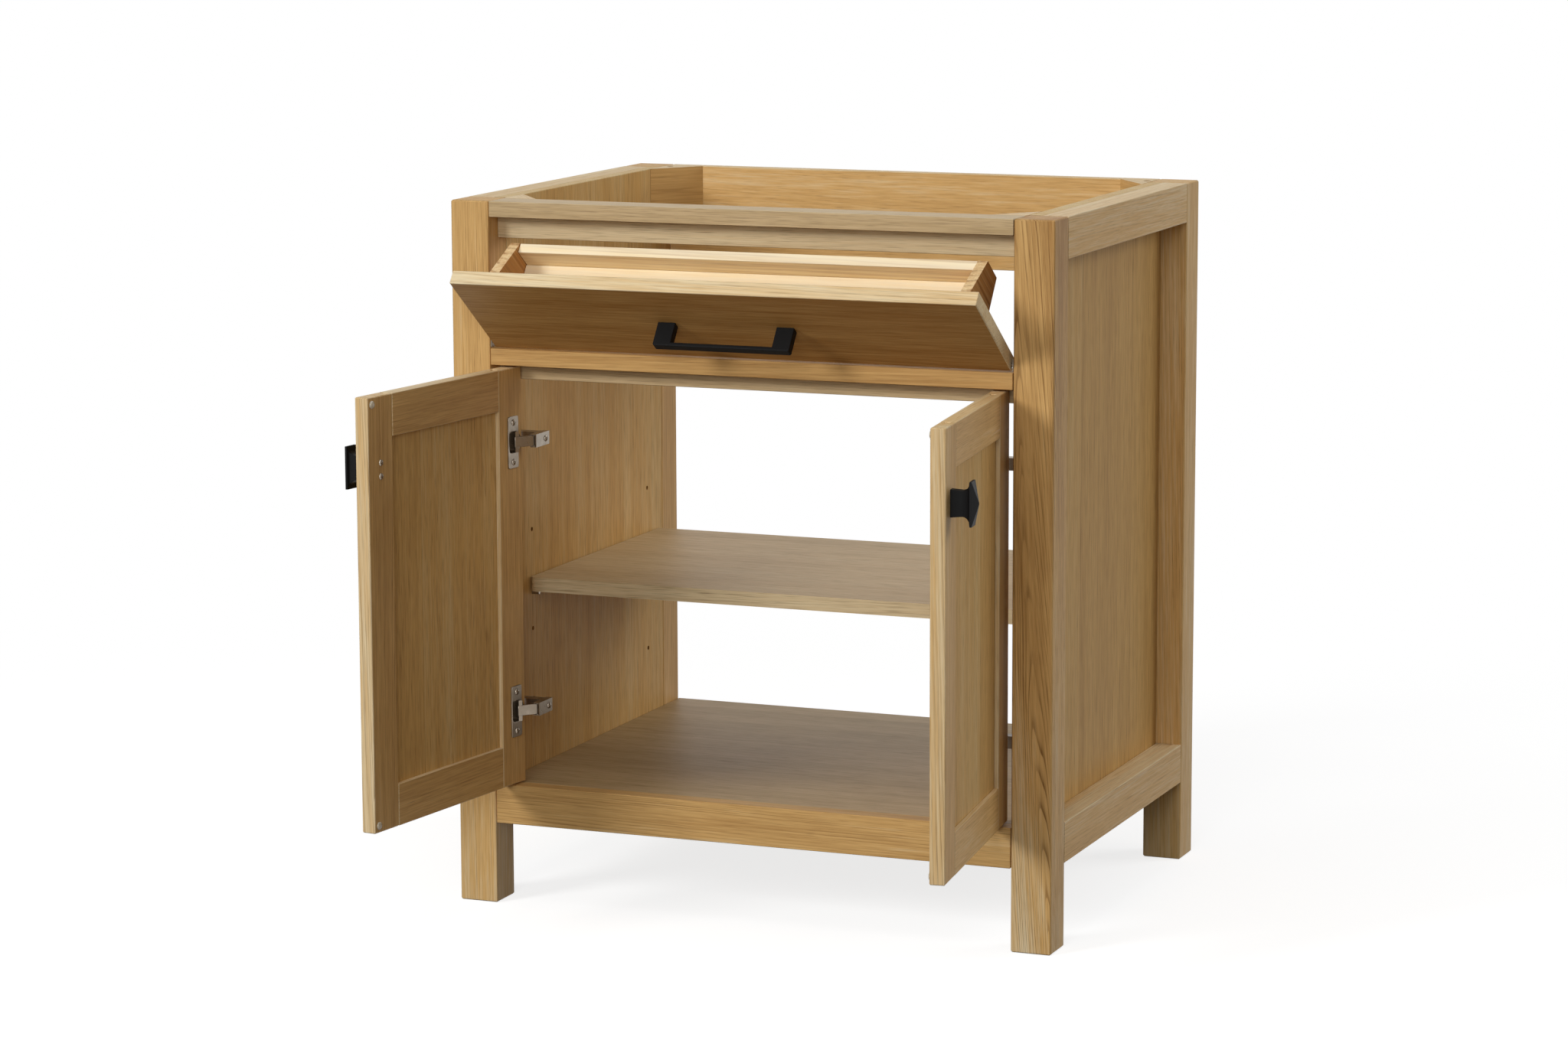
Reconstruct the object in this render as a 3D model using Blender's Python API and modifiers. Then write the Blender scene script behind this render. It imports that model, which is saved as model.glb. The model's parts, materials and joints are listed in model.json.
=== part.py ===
"""Open-top bathroom vanity: oak carcass, two shaker doors, tilt-out tray and a loose shelf.

Metres, +Z up, the front looks along -Y. The object stands open: both doors and the tilt front
are at the ends of their swing. The origin is on the floor in the middle of the overall box.
"""
import math

import bmesh
import bpy
from mathutils import Matrix, Vector

# Overall size
WIDTH = 0.762
DEPTH = 0.565
HEIGHT = 0.860
POST = 0.0495

# Clearances
GLUE_GAP = 0.0003
DOOR_GAP = 0.0025
TILT_SIDE_GAP = 0.004
TILT_LOWER_GAP = 0.0035
TILT_UPPER_GAP = 0.0025
SHELF_SIDE_GAP = 0.0015
PIN_CLEARANCE = 0.0003
GROOVE_CLEARANCE = 0.0003

# Rails of the front
FLAT_RAIL_DEPTH = 0.044
TOP_RAIL_HEIGHT = 0.019
MID_RAIL_DROP = 0.177
MID_RAIL_HEIGHT = 0.020
LOW_RAIL_BASE = 0.100
LOW_RAIL_HEIGHT = 0.0485
LOW_RAIL_THICKNESS = 0.022
TRAY_STOP_SETBACK = 0.025
DOOR_STOP_SETBACK = 0.0272
STOP_THICKNESS = 0.018
TRAY_STOP_HEIGHT = 0.027
DOOR_STOP_HEIGHT = 0.019

# Sides, back and floor
SIDE_RAIL_HEIGHT = 0.049
SIDE_PANEL_THICKNESS = 0.0162
REAR_BOARD_HEIGHT = 0.121
REAR_BOARD_THICKNESS = 0.018
REAR_RAIL_THICKNESS = 0.018
FLOOR_THICKNESS = 0.018

# Corner braces
FRONT_BRACE_LEGS = (0.0425, 0.0545)
FRONT_BRACE_HEIGHT = 0.040
REAR_BRACE_LEGS = (0.047, 0.062)
REAR_BRACE_HEIGHT = 0.080
BRACE_HOLE_RADIUS = 0.0045
BRACE_HOLE_INSETS = (0.0072, 0.0150)

# Shelf and pins
SHELF_THICKNESS = 0.0175
SHELF_FRONT = 0.100
SHELF_BACK_GAP = 0.065
SHELF_RISE = 0.222
SHELF_CORNER = 0.008
PIN_RADIUS = 0.0025
PIN_LENGTH = 0.018
PIN_HOLE_DEPTH = 0.009
FRONT_PIN_INSET = 0.012
REAR_PIN_INSET = 0.034
SPARE_HOLE_STEPS = (-0.1337, -0.0457, 0.0783)

# Doors
DOOR_THICKNESS = 0.018
FRAME_WIDTH = 0.050
PANEL_THICKNESS = 0.007
GROOVE_DEPTH = 0.0065
PANEL_TONGUE = 0.006
DOOR_PIVOT_INSET = 0.018
DOOR_PIVOT_BACK = 0.0075
DOOR_OPEN_ANGLE = math.radians(97.0)

# Hinges
HINGE_FROM_END = 0.090
CUP_FROM_EDGE = 0.021
CUP_FLANGE = (0.022, 0.063, 0.0015)
CUP_MOUTH = (0.018, 0.026)
CUP_DEPTH = 0.012
CUP_WALL = 0.0012
LINK_PIVOT = (0.046, 0.023)
LINK_LENGTH = 0.026
LINK_TIP = (0.0055, 0.0008)
LINK_TIP_THICKNESS = 0.0026
LINK_TIP_CLEARANCE = 0.0004
LINK_THICKNESS = 0.004
LINK_HEIGHT = 0.0126
LINK_OPEN_DIRECTION = math.radians(230.0)
ARM_HEIGHT = 0.016
ARM_SHEET = 0.0012
ARM_FACE = 0.0506
ARM_LIP = 0.0082
ARM_FRONT = 0.0198
ARM_BACK = 0.057
ARM_RISER_FRONT = 0.042
ARM_PLATE = (0.002, 0.044, 0.028)
ARM_PLATE_FRONT = 0.033

# Knobs
KNOB_FROM_FREE_EDGE = 0.025
KNOB_BELOW_DOOR_TOP = 0.0855
KNOB_SECTIONS = (
    (0.0130, 0.0098, 0.0292),
    (0.0180, 0.0116, 0.0330),
    (0.0208, 0.0164, 0.0430),
    (0.0222, 0.0196, 0.0500),
    (0.0246, 0.0200, 0.0504),
    (0.0310, 0.0012, 0.0030),
)
KNOB_BASE = (0.0112, 0.0312)

# Tilt front, its handle and tray
TILT_THICKNESS = 0.018
TILT_PIVOT_BACK = 0.0055
TILT_PIVOT_ABOVE_EDGE = 0.005
TILT_OPEN_ANGLE = math.radians(54.0)
HANDLE_LENGTH = 0.171
HANDLE_REACH = 0.031
HANDLE_BAR = 0.0045
HANDLE_HEIGHT = 0.011
HANDLE_FOOT = 0.022
HANDLE_CHAMFER = 0.0015
TRAY_SIDE_INSET = 0.0305
TRAY_END_THICKNESS = 0.012
TRAY_BACK_THICKNESS = 0.0124
TRAY_BACK_HEIGHT = 0.038
TRAY_FLOOR_THICKNESS = 0.0095
TRAY_REACH = 0.098
TRAY_LIFT = 0.043
TRAY_FRONT_HEIGHT = 0.0805
TILT_PIN_RADIUS = 0.002
TILT_PIN_LENGTH = 0.0085
TILT_PLATE = (0.0015, 0.024, 0.014)

# Edge rounding
POST_EDGE = 0.0018
BOARD_EDGE = 0.0008
FRONT_EDGE = 0.0012
METAL_EDGE = 0.0004

# Sizes that follow from the ones above
HALF = WIDTH / 2
INNER = HALF - POST
SPAN = INNER - GLUE_GAP
TOP_RAIL_BASE = HEIGHT - TOP_RAIL_HEIGHT
MID_RAIL_TOP = HEIGHT - MID_RAIL_DROP
MID_RAIL_BASE = MID_RAIL_TOP - MID_RAIL_HEIGHT
LOW_RAIL_TOP = LOW_RAIL_BASE + LOW_RAIL_HEIGHT
DOOR_WIDTH = (2 * INNER - 3 * DOOR_GAP) / 2
DOOR_BASE = LOW_RAIL_TOP + DOOR_GAP
DOOR_TOP = MID_RAIL_BASE - DOOR_GAP
TILT_BASE = MID_RAIL_TOP + TILT_LOWER_GAP
TILT_TOP = TOP_RAIL_BASE - TILT_UPPER_GAP
TILT_PIVOT_HEIGHT = TILT_BASE + TILT_PIVOT_ABOVE_EDGE
TRAY_BASE = TILT_BASE + TRAY_LIFT
TRAY_FRONT_TOP = TRAY_BASE + TRAY_FRONT_HEIGHT
SHELF_DEPTH = DEPTH - SHELF_FRONT - SHELF_BACK_GAP
SHELF_UNDERSIDE = LOW_RAIL_TOP + SHELF_RISE
PIN_COLUMNS = (SHELF_FRONT + FRONT_PIN_INSET, SHELF_FRONT + SHELF_DEPTH - REAR_PIN_INSET)
PIN_AXIS_HEIGHT = SHELF_UNDERSIDE - PIN_CLEARANCE - PIN_RADIUS
KNOB_MIDDLE = DOOR_TOP - KNOB_BELOW_DOOR_TOP
DOOR_FRONT_REACH = (
    DOOR_PIVOT_BACK
    - (DOOR_WIDTH + DOOR_GAP - DOOR_PIVOT_INSET) * math.sin(DOOR_OPEN_ANGLE)
    + (DOOR_THICKNESS - DOOR_PIVOT_BACK) * math.cos(DOOR_OPEN_ANGLE)
)
MIDDLE_Y = (DOOR_FRONT_REACH + DEPTH) / 2


def clear_scene():
    """Removes whatever the scene holds."""
    for item in list(bpy.data.objects):
        bpy.data.objects.remove(item, do_unlink=True)


def make_collection(name):
    """Adds a named collection to the scene."""
    made = bpy.data.collections.new(name)
    bpy.context.scene.collection.children.link(made)
    return made


def linear(value):
    """Turns one sRGB channel (0 to 1) into linear light."""
    if value <= 0.04045:
        return value / 12.92
    return ((value + 0.055) / 1.055) ** 2.4


def make_material(name, colour, roughness, metallic):
    """Makes a plain Principled material from an sRGB hex colour."""
    made = bpy.data.materials.new(name)
    made.use_nodes = True
    channels = [linear(int(colour[i:i + 2], 16) / 255) for i in (0, 2, 4)]
    shader = made.node_tree.nodes["Principled BSDF"]
    shader.inputs["Base Color"].default_value = (*channels, 1.0)
    shader.inputs["Roughness"].default_value = roughness
    shader.inputs["Metallic"].default_value = metallic
    return made


clear_scene()
PARTS = make_collection("vanity_unit")
CUTTERS = make_collection("vanity_cutters")
OAK = make_material("honey_oak", "C6A26C", 0.55, 0.0)
SIDE_OAK = make_material("side_oak", "BE9A66", 0.55, 0.0)
PINE = make_material("tray_pine", "EBCB98", 0.60, 0.0)
BLACK = make_material("black_satin_metal", "1C1A19", 0.45, 0.6)
NICKEL = make_material("nickel_plated_steel", "B7B2A8", 0.32, 0.9)


def make_empty(name, parent, location, turn=(0.0, 0.0, 0.0)):
    """Adds an empty that carries pieces on a joint axis."""
    empty = bpy.data.objects.new(name, None)
    CUTTERS.objects.link(empty)
    empty.parent = parent
    empty.location = location
    empty.rotation_euler = turn
    return empty


def box_mesh(low, high):
    """Makes a box centred on its own origin and gives it with its middle."""
    size = [high[i] - low[i] for i in range(3)]
    middle = [(high[i] + low[i]) / 2 for i in range(3)]
    shape = bmesh.new()
    bmesh.ops.create_cube(shape, size=1.0)
    bmesh.ops.scale(shape, vec=size, verts=shape.verts)
    return shape, middle


def place(name, shape, location, parent, material):
    """Turns a bmesh into a named piece of the object."""
    mesh = bpy.data.meshes.new(name)
    shape.to_mesh(mesh)
    shape.free()
    piece = bpy.data.objects.new(name, mesh)
    PARTS.objects.link(piece)
    piece.parent = parent
    piece.location = location
    mesh.materials.append(material)
    return piece


def ease(piece, width):
    """Breaks the sharp edges of a board."""
    bevel = piece.modifiers.new("eased_edges", "BEVEL")
    bevel.width = width
    bevel.segments = 1
    bevel.limit_method = "ANGLE"
    return piece


def board(name, low, high, parent, material, edge):
    """Makes a straight board between two corners."""
    shape, middle = box_mesh(low, high)
    return ease(place(name, shape, middle, parent, material), edge)


def as_cutter(name, shape, location, parent, turn=(0.0, 0.0, 0.0)):
    """Keeps a helper shape out of the object's own collection."""
    mesh = bpy.data.meshes.new(name)
    shape.to_mesh(mesh)
    shape.free()
    helper = bpy.data.objects.new(name, mesh)
    CUTTERS.objects.link(helper)
    helper.parent = parent
    helper.location = location
    helper.rotation_euler = turn
    helper.hide_render = True
    helper.display_type = "WIRE"
    return helper


def box_cutter(name, low, high, parent):
    """Makes a box helper between two corners."""
    shape, middle = box_mesh(low, high)
    return as_cutter(name, shape, middle, parent)


def rod_cutter(name, radius, length, location, parent, turn, sides=12):
    """Makes a round helper about its own middle, along its own z."""
    shape = bmesh.new()
    bmesh.ops.create_cone(
        shape, cap_ends=True, segments=sides, radius1=radius, radius2=radius, depth=length
    )
    return as_cutter(name, shape, location, parent, turn)


def combine(piece, helper, operation):
    """Cuts a helper out of a piece, or joins it to the piece."""
    change = piece.modifiers.new(helper.name, "BOOLEAN")
    change.operation = operation
    change.solver = "EXACT"
    change.object = helper


def cut(piece, helper):
    """Takes a helper's shape away from a piece."""
    combine(piece, helper, "DIFFERENCE")


def join(piece, helper):
    """Adds a helper's shape to a piece."""
    combine(piece, helper, "UNION")


def slice_off(shape, point, normal):
    """Cuts away what lies beyond a plane and closes the cut."""
    everything = list(shape.verts) + list(shape.edges) + list(shape.faces)
    result = bmesh.ops.bisect_plane(
        shape, geom=everything, plane_co=point, plane_no=normal, clear_outer=True
    )
    rim = [item for item in result["geom_cut"] if isinstance(item, bmesh.types.BMEdge)]
    bmesh.ops.holes_fill(shape, edges=rim, sides=0)
    bmesh.ops.recalc_face_normals(shape, faces=shape.faces)


def across(side, first, second):
    """Orders two distances from the middle on one side of the object."""
    return min(side * first, side * second), max(side * first, side * second)


ROOT = make_empty("vanity_frame", None, (0.0, -MIDDLE_Y, 0.0))
SIDES = (("left", -1), ("right", 1))


def build_posts():
    """Builds the four posts."""
    for row, start in (("front", 0.0), ("rear", DEPTH - POST)):
        for label, side in SIDES:
            low_x, high_x = across(side, INNER, HALF)
            board(
                f"post_{row}_{label}",
                (low_x, start, 0.0),
                (high_x, start + POST, HEIGHT),
                ROOT,
                OAK,
                POST_EDGE,
            )


def build_front_rails():
    """Builds the rails between the front posts and the stop rails behind them."""
    rows = (
        ("front_top_rail", 0.0, FLAT_RAIL_DEPTH, TOP_RAIL_BASE, HEIGHT),
        ("front_mid_rail", 0.0, FLAT_RAIL_DEPTH, MID_RAIL_BASE, MID_RAIL_TOP),
        ("front_bottom_rail", 0.0, LOW_RAIL_THICKNESS, LOW_RAIL_BASE, LOW_RAIL_TOP),
        ("tray_stop_rail", TRAY_STOP_SETBACK, TRAY_STOP_SETBACK + STOP_THICKNESS,
         TOP_RAIL_BASE - TRAY_STOP_HEIGHT, TOP_RAIL_BASE - GLUE_GAP),
        ("door_stop_rail", DOOR_STOP_SETBACK, DOOR_STOP_SETBACK + STOP_THICKNESS,
         MID_RAIL_BASE - DOOR_STOP_HEIGHT, MID_RAIL_BASE - GLUE_GAP),
    )
    for name, front, back, base, top in rows:
        board(name, (-SPAN, front, base), (SPAN, back, top), ROOT, OAK, BOARD_EDGE)


def build_sides():
    """Builds the side rails and the side panels with their pin holes.

    Each panel stands inside its rails and is flush with the top.
    """
    front = POST + GLUE_GAP
    back = DEPTH - POST - GLUE_GAP
    panel_outer = INNER + SIDE_PANEL_THICKNESS
    hole_heights = [PIN_AXIS_HEIGHT + step for step in (0.0,) + SPARE_HOLE_STEPS]
    for label, side in SIDES:
        low_x, high_x = across(side, panel_outer + GLUE_GAP, HALF)
        for row, base in (("top", HEIGHT - SIDE_RAIL_HEIGHT), ("bottom", LOW_RAIL_BASE)):
            board(
                f"side_{row}_rail_{label}",
                (low_x, front, base),
                (high_x, back, base + SIDE_RAIL_HEIGHT),
                ROOT,
                SIDE_OAK,
                BOARD_EDGE,
            )
        low_x, high_x = across(side, INNER, panel_outer)
        panel = board(
            f"side_panel_{label}",
            (low_x, front, LOW_RAIL_BASE),
            (high_x, back, HEIGHT),
            ROOT,
            SIDE_OAK,
            BOARD_EDGE,
        )
        for column, place_y in enumerate(PIN_COLUMNS):
            for level, place_z in enumerate(hole_heights):
                hole = rod_cutter(
                    f"pin_hole_{label}_{column}_{level}",
                    PIN_RADIUS + PIN_CLEARANCE,
                    2 * PIN_HOLE_DEPTH,
                    (side * INNER, place_y, place_z),
                    ROOT,
                    (0.0, math.pi / 2, 0.0),
                )
                cut(panel, hole)


def build_back_and_floor():
    """Builds the rear boards and the floor of the cabinet."""
    board(
        "rear_top_board",
        (-SPAN, DEPTH - REAR_BOARD_THICKNESS, HEIGHT - REAR_BOARD_HEIGHT),
        (SPAN, DEPTH, HEIGHT),
        ROOT,
        OAK,
        BOARD_EDGE,
    )
    floor_base = LOW_RAIL_TOP - FLOOR_THICKNESS
    board(
        "bottom_panel",
        (-SPAN, LOW_RAIL_THICKNESS + GLUE_GAP, floor_base),
        (SPAN, DEPTH, LOW_RAIL_TOP),
        ROOT,
        OAK,
        BOARD_EDGE,
    )
    board(
        "rear_bottom_rail",
        (-SPAN, DEPTH - REAR_RAIL_THICKNESS, LOW_RAIL_BASE),
        (SPAN, DEPTH, floor_base - GLUE_GAP),
        ROOT,
        OAK,
        BOARD_EDGE,
    )


def build_braces():
    """Builds the four corner braces flush with the top."""
    rows = (
        ("front", FLAT_RAIL_DEPTH + GLUE_GAP, 1, FRONT_BRACE_LEGS, FRONT_BRACE_HEIGHT),
        ("rear", DEPTH - REAR_BOARD_THICKNESS - GLUE_GAP, -1, REAR_BRACE_LEGS, REAR_BRACE_HEIGHT),
    )
    for row, start, inward, legs, height in rows:
        low_y = min(start, start + inward * legs[1])
        high_y = max(start, start + inward * legs[1])
        for label, side in SIDES:
            low_x, high_x = across(side, SPAN - legs[0], SPAN)
            shape, middle = box_mesh((low_x, low_y, HEIGHT - height), (high_x, high_y, HEIGHT))
            slice_off(shape, Vector((0.0, 0.0, 0.0)), Vector((-side * legs[1], inward * legs[0], 0.0)))
            brace = place(f"corner_brace_{row}_{label}", shape, middle, ROOT, OAK)
            if row == "rear":
                hole = rod_cutter(
                    f"brace_hole_{label}",
                    BRACE_HOLE_RADIUS,
                    3 * height,
                    (side * (SPAN - BRACE_HOLE_INSETS[0]), start + inward * BRACE_HOLE_INSETS[1], HEIGHT),
                    ROOT,
                    (0.0, 0.0, 0.0),
                )
                cut(brace, hole)


def build_shelf():
    """Builds the loose shelf and the pins that carry it."""
    half_width = INNER - SHELF_SIDE_GAP
    shape, middle = box_mesh(
        (-half_width, SHELF_FRONT, SHELF_UNDERSIDE),
        (half_width, SHELF_FRONT + SHELF_DEPTH, SHELF_UNDERSIDE + SHELF_THICKNESS),
    )
    corners = [
        edge for edge in shape.edges
        if all(vert.co.y < 0 for vert in edge.verts)
        and edge.verts[0].co.x * edge.verts[1].co.x > 0
    ]
    bmesh.ops.bevel(
        shape, geom=corners, offset=SHELF_CORNER, segments=4, profile=0.5, affect="EDGES"
    )
    place("shelf", shape, middle, ROOT, OAK)
    reach = PIN_LENGTH / 2 - PIN_HOLE_DEPTH + PIN_CLEARANCE
    for row, place_y in zip(("front", "rear"), PIN_COLUMNS):
        for label, side in SIDES:
            shape = bmesh.new()
            bmesh.ops.create_cone(
                shape, cap_ends=True, segments=12, radius1=PIN_RADIUS, radius2=PIN_RADIUS,
                depth=PIN_LENGTH,
            )
            bmesh.ops.rotate(shape, matrix=Matrix.Rotation(math.pi / 2, 3, "Y"), verts=shape.verts)
            place(
                f"shelf_pin_{row}_{label}",
                shape,
                (side * (INNER - reach), place_y, PIN_AXIS_HEIGHT),
                ROOT,
                NICKEL,
            )


def build_door(label, side):
    """Builds one door about its hinge axis, turned to its open place."""
    inward = -side
    axis_x = side * (INNER - DOOR_PIVOT_INSET)
    pivot = make_empty(
        f"{label}_door_axis",
        ROOT,
        (axis_x, DOOR_PIVOT_BACK, 0.0),
        (0.0, 0.0, -inward * DOOR_OPEN_ANGLE),
    )
    edge_start = DOOR_GAP - DOOR_PIVOT_INSET
    face = -DOOR_PIVOT_BACK
    inside = face + DOOR_THICKNESS
    groove_low = face + (DOOR_THICKNESS - PANEL_THICKNESS) / 2 - GROOVE_CLEARANCE
    groove_high = groove_low + PANEL_THICKNESS + 2 * GROOVE_CLEARANCE

    def span(first, second):
        """Gives the ordered x of two distances from the hinge edge."""
        return across(inward, edge_start + first, edge_start + second)

    def piece(name, first, second, front, back, base, top, material, edge):
        """Makes a board of this door."""
        low_x, high_x = span(first, second)
        return board(
            f"{label}_door_{name}", (low_x, front, base), (high_x, back, top), pivot, material, edge
        )

    def helper(name, first, second, front, back, base, top):
        """Makes a box helper of this door."""
        low_x, high_x = span(first, second)
        return box_cutter(f"{label}_{name}", (low_x, front, base), (high_x, back, top), pivot)

    inner_edge = DOOR_WIDTH - FRAME_WIDTH
    hinge_stile = piece("hinge_stile", 0.0, FRAME_WIDTH, face, inside, DOOR_BASE, DOOR_TOP,
                        OAK, FRONT_EDGE)
    cut(hinge_stile, helper("hinge_groove", FRAME_WIDTH - GROOVE_DEPTH, FRAME_WIDTH + GROOVE_DEPTH,
                            groove_low, groove_high, 0.0, HEIGHT))
    free_stile = piece("free_stile", inner_edge, DOOR_WIDTH, face, inside, DOOR_BASE, DOOR_TOP,
                       OAK, FRONT_EDGE)
    cut(free_stile, helper("free_groove", inner_edge - GROOVE_DEPTH, inner_edge + GROOVE_DEPTH,
                           groove_low, groove_high, 0.0, HEIGHT))

    rail_start = FRAME_WIDTH + GLUE_GAP
    rail_end = inner_edge - GLUE_GAP
    tenon_low = groove_low + GROOVE_CLEARANCE
    tenon_high = groove_high - GROOVE_CLEARANCE
    levels = (
        ("top_rail", DOOR_TOP - FRAME_WIDTH, DOOR_TOP, 1),
        ("bottom_rail", DOOR_BASE, DOOR_BASE + FRAME_WIDTH, -1),
    )
    for name, base, top, outward in levels:
        rail = piece(name, rail_start, rail_end, face, inside, base, top, OAK, BOARD_EDGE)
        tenon_base = base + (GROOVE_DEPTH + BOARD_EDGE if outward > 0 else BOARD_EDGE)
        tenon_top = top - (GROOVE_DEPTH + BOARD_EDGE if outward < 0 else BOARD_EDGE)
        join(rail, helper(f"{name}_tenon", FRAME_WIDTH - PANEL_TONGUE, inner_edge + PANEL_TONGUE,
                          tenon_low, tenon_high, tenon_base, tenon_top))
        groove_edge = base if outward > 0 else top
        cut(rail, helper(f"{name}_groove", 0.0, DOOR_WIDTH, groove_low, groove_high,
                         groove_edge - GROOVE_DEPTH, groove_edge + GROOVE_DEPTH))
    piece("panel", FRAME_WIDTH - PANEL_TONGUE, inner_edge + PANEL_TONGUE, tenon_low, tenon_high,
          DOOR_BASE + FRAME_WIDTH - PANEL_TONGUE, DOOR_TOP - FRAME_WIDTH + PANEL_TONGUE,
          OAK, METAL_EDGE)

    build_knob(label, inward, pivot, edge_start, face)
    build_hinges(label, side, pivot, hinge_stile, helper)


def build_knob(label, inward, pivot, edge_start, face):
    """Builds a door knob: a waisted stem that flares to a faceted head."""
    shape = bmesh.new()
    bmesh.ops.create_cube(shape, size=1.0)
    first = KNOB_SECTIONS[0]
    bmesh.ops.scale(shape, vec=(KNOB_BASE[0], first[0], KNOB_BASE[1]), verts=shape.verts)
    bmesh.ops.translate(shape, vec=(0.0, -first[0] / 2, 0.0), verts=shape.verts)
    shape.faces.ensure_lookup_table()
    top = min(shape.faces, key=lambda item: item.calc_center_median().y)
    for vert in top.verts:
        vert.co.x *= first[1] / KNOB_BASE[0]
        vert.co.z *= first[2] / KNOB_BASE[1]
    before = first
    for section in KNOB_SECTIONS[1:]:
        grown = bmesh.ops.extrude_face_region(shape, geom=[top])
        verts = [item for item in grown["geom"] if isinstance(item, bmesh.types.BMVert)]
        fresh = [item for item in grown["geom"] if isinstance(item, bmesh.types.BMFace)][0]
        bmesh.ops.delete(shape, geom=[top], context="FACES_ONLY")
        for vert in verts:
            vert.co.y = -section[0]
            vert.co.x *= section[1] / before[1]
            vert.co.z *= section[2] / before[2]
        top = fresh
        before = section
    bmesh.ops.recalc_face_normals(shape, faces=shape.faces)
    offset = edge_start + DOOR_WIDTH - KNOB_FROM_FREE_EDGE
    place(
        f"{label}_door_knob",
        shape,
        (inward * offset, face - GLUE_GAP, KNOB_MIDDLE),
        pivot,
        BLACK,
    )


def build_hinges(label, side, pivot, stile, helper):
    """Builds both hinges of a door: cups in the door, links and arms on the cabinet."""
    inward = -side
    inside = DOOR_THICKNESS - DOOR_PIVOT_BACK
    link_axis = make_empty(
        f"{label}_link_axis",
        ROOT,
        (side * (INNER - LINK_PIVOT[0]), LINK_PIVOT[1], 0.0),
        (0.0, 0.0, inward * LINK_OPEN_DIRECTION),
    )
    rows = (("upper", DOOR_TOP - HINGE_FROM_END), ("lower", DOOR_BASE + HINGE_FROM_END))
    half_flange = CUP_FLANGE[0] / 2
    half_mouth = CUP_MOUTH[0] / 2
    for row, middle in rows:
        end = f"{label}_{row}"
        seat = inside + GLUE_GAP
        offset = DOOR_GAP - DOOR_PIVOT_INSET + CUP_FROM_EDGE
        low_x, high_x = across(inward, offset - half_flange, offset + half_flange)
        cup = board(
            f"hinge_cup_{end}",
            (low_x, seat, middle - CUP_FLANGE[1] / 2),
            (high_x, seat + CUP_FLANGE[2], middle + CUP_FLANGE[1] / 2),
            pivot,
            NICKEL,
            METAL_EDGE,
        )
        join(cup, helper(f"cup_body_{row}",
                         CUP_FROM_EDGE - half_mouth - CUP_WALL, CUP_FROM_EDGE + half_mouth + CUP_WALL,
                         inside - CUP_DEPTH - CUP_WALL, seat + CUP_FLANGE[2] / 2,
                         middle - CUP_MOUTH[1] / 2 - CUP_WALL, middle + CUP_MOUTH[1] / 2 + CUP_WALL))
        cut(cup, helper(f"cup_mouth_{row}",
                        CUP_FROM_EDGE - half_mouth, CUP_FROM_EDGE + half_mouth,
                        inside - CUP_DEPTH, inside + 2 * CUP_DEPTH,
                        middle - CUP_MOUTH[1] / 2, middle + CUP_MOUTH[1] / 2))
        recess = CUP_WALL + GLUE_GAP
        cut(stile, helper(f"cup_recess_{row}",
                          CUP_FROM_EDGE - half_mouth - recess, CUP_FROM_EDGE + half_mouth + recess,
                          inside - CUP_DEPTH - recess, inside + CUP_DEPTH,
                          middle - CUP_MOUTH[1] / 2 - recess, middle + CUP_MOUTH[1] / 2 + recess))
        low_x, high_x = across(inward, -LINK_THICKNESS / 2, LINK_LENGTH)
        link = board(
            f"hinge_link_{end}",
            (low_x, -LINK_THICKNESS / 2, middle - LINK_HEIGHT / 2),
            (high_x, LINK_THICKNESS / 2, middle + LINK_HEIGHT / 2),
            link_axis,
            NICKEL,
            METAL_EDGE,
        )
        tip_reach = CUP_MOUTH[1] / 2 - LINK_TIP_CLEARANCE
        low_x, high_x = across(inward, LINK_LENGTH - LINK_TIP[0], LINK_LENGTH - LINK_TIP[1])
        tip = box_cutter(
            f"link_tip_{end}",
            (low_x, -LINK_TIP_THICKNESS / 2, middle - tip_reach),
            (high_x, LINK_TIP_THICKNESS / 2, middle + tip_reach),
            link_axis,
        )
        join(link, tip)
        build_arm(end, side, middle)


def build_arm(end, side, middle):
    """Builds one hinge arm: a plate on the post, a riser and a channel around the link."""
    inner = INNER - GLUE_GAP
    low_x, high_x = across(side, inner - ARM_PLATE[0], inner)
    arm = board(
        f"hinge_arm_{end}",
        (low_x, ARM_PLATE_FRONT, middle - ARM_PLATE[2] / 2),
        (high_x, ARM_PLATE_FRONT + ARM_PLATE[1], middle + ARM_PLATE[2] / 2),
        ROOT,
        NICKEL,
        METAL_EDGE,
    )
    low_x, high_x = across(side, INNER - ARM_FACE, INNER - ARM_FACE + ARM_LIP)
    channel = box_cutter(
        f"arm_channel_{end}",
        (low_x, ARM_FRONT, middle - ARM_HEIGHT / 2),
        (high_x, ARM_BACK, middle + ARM_HEIGHT / 2),
        ROOT,
    )
    join(arm, channel)
    low_x, high_x = across(side, INNER - ARM_FACE + ARM_SHEET, INNER - ARM_FACE + 2 * ARM_LIP)
    hollow = box_cutter(
        f"arm_hollow_{end}",
        (low_x, 0.0, middle - ARM_HEIGHT / 2 + ARM_SHEET),
        (high_x, ARM_BACK + ARM_LIP, middle + ARM_HEIGHT / 2 - ARM_SHEET),
        ROOT,
    )
    cut(arm, hollow)
    low_x, high_x = across(side, INNER - ARM_FACE + ARM_SHEET / 2, inner - ARM_PLATE[0] / 2)
    riser = box_cutter(
        f"arm_riser_{end}",
        (low_x, ARM_RISER_FRONT, middle - ARM_HEIGHT / 2 + ARM_SHEET / 2),
        (high_x, ARM_BACK - ARM_SHEET, middle + ARM_HEIGHT / 2 - ARM_SHEET / 2),
        ROOT,
    )
    join(arm, riser)


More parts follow.
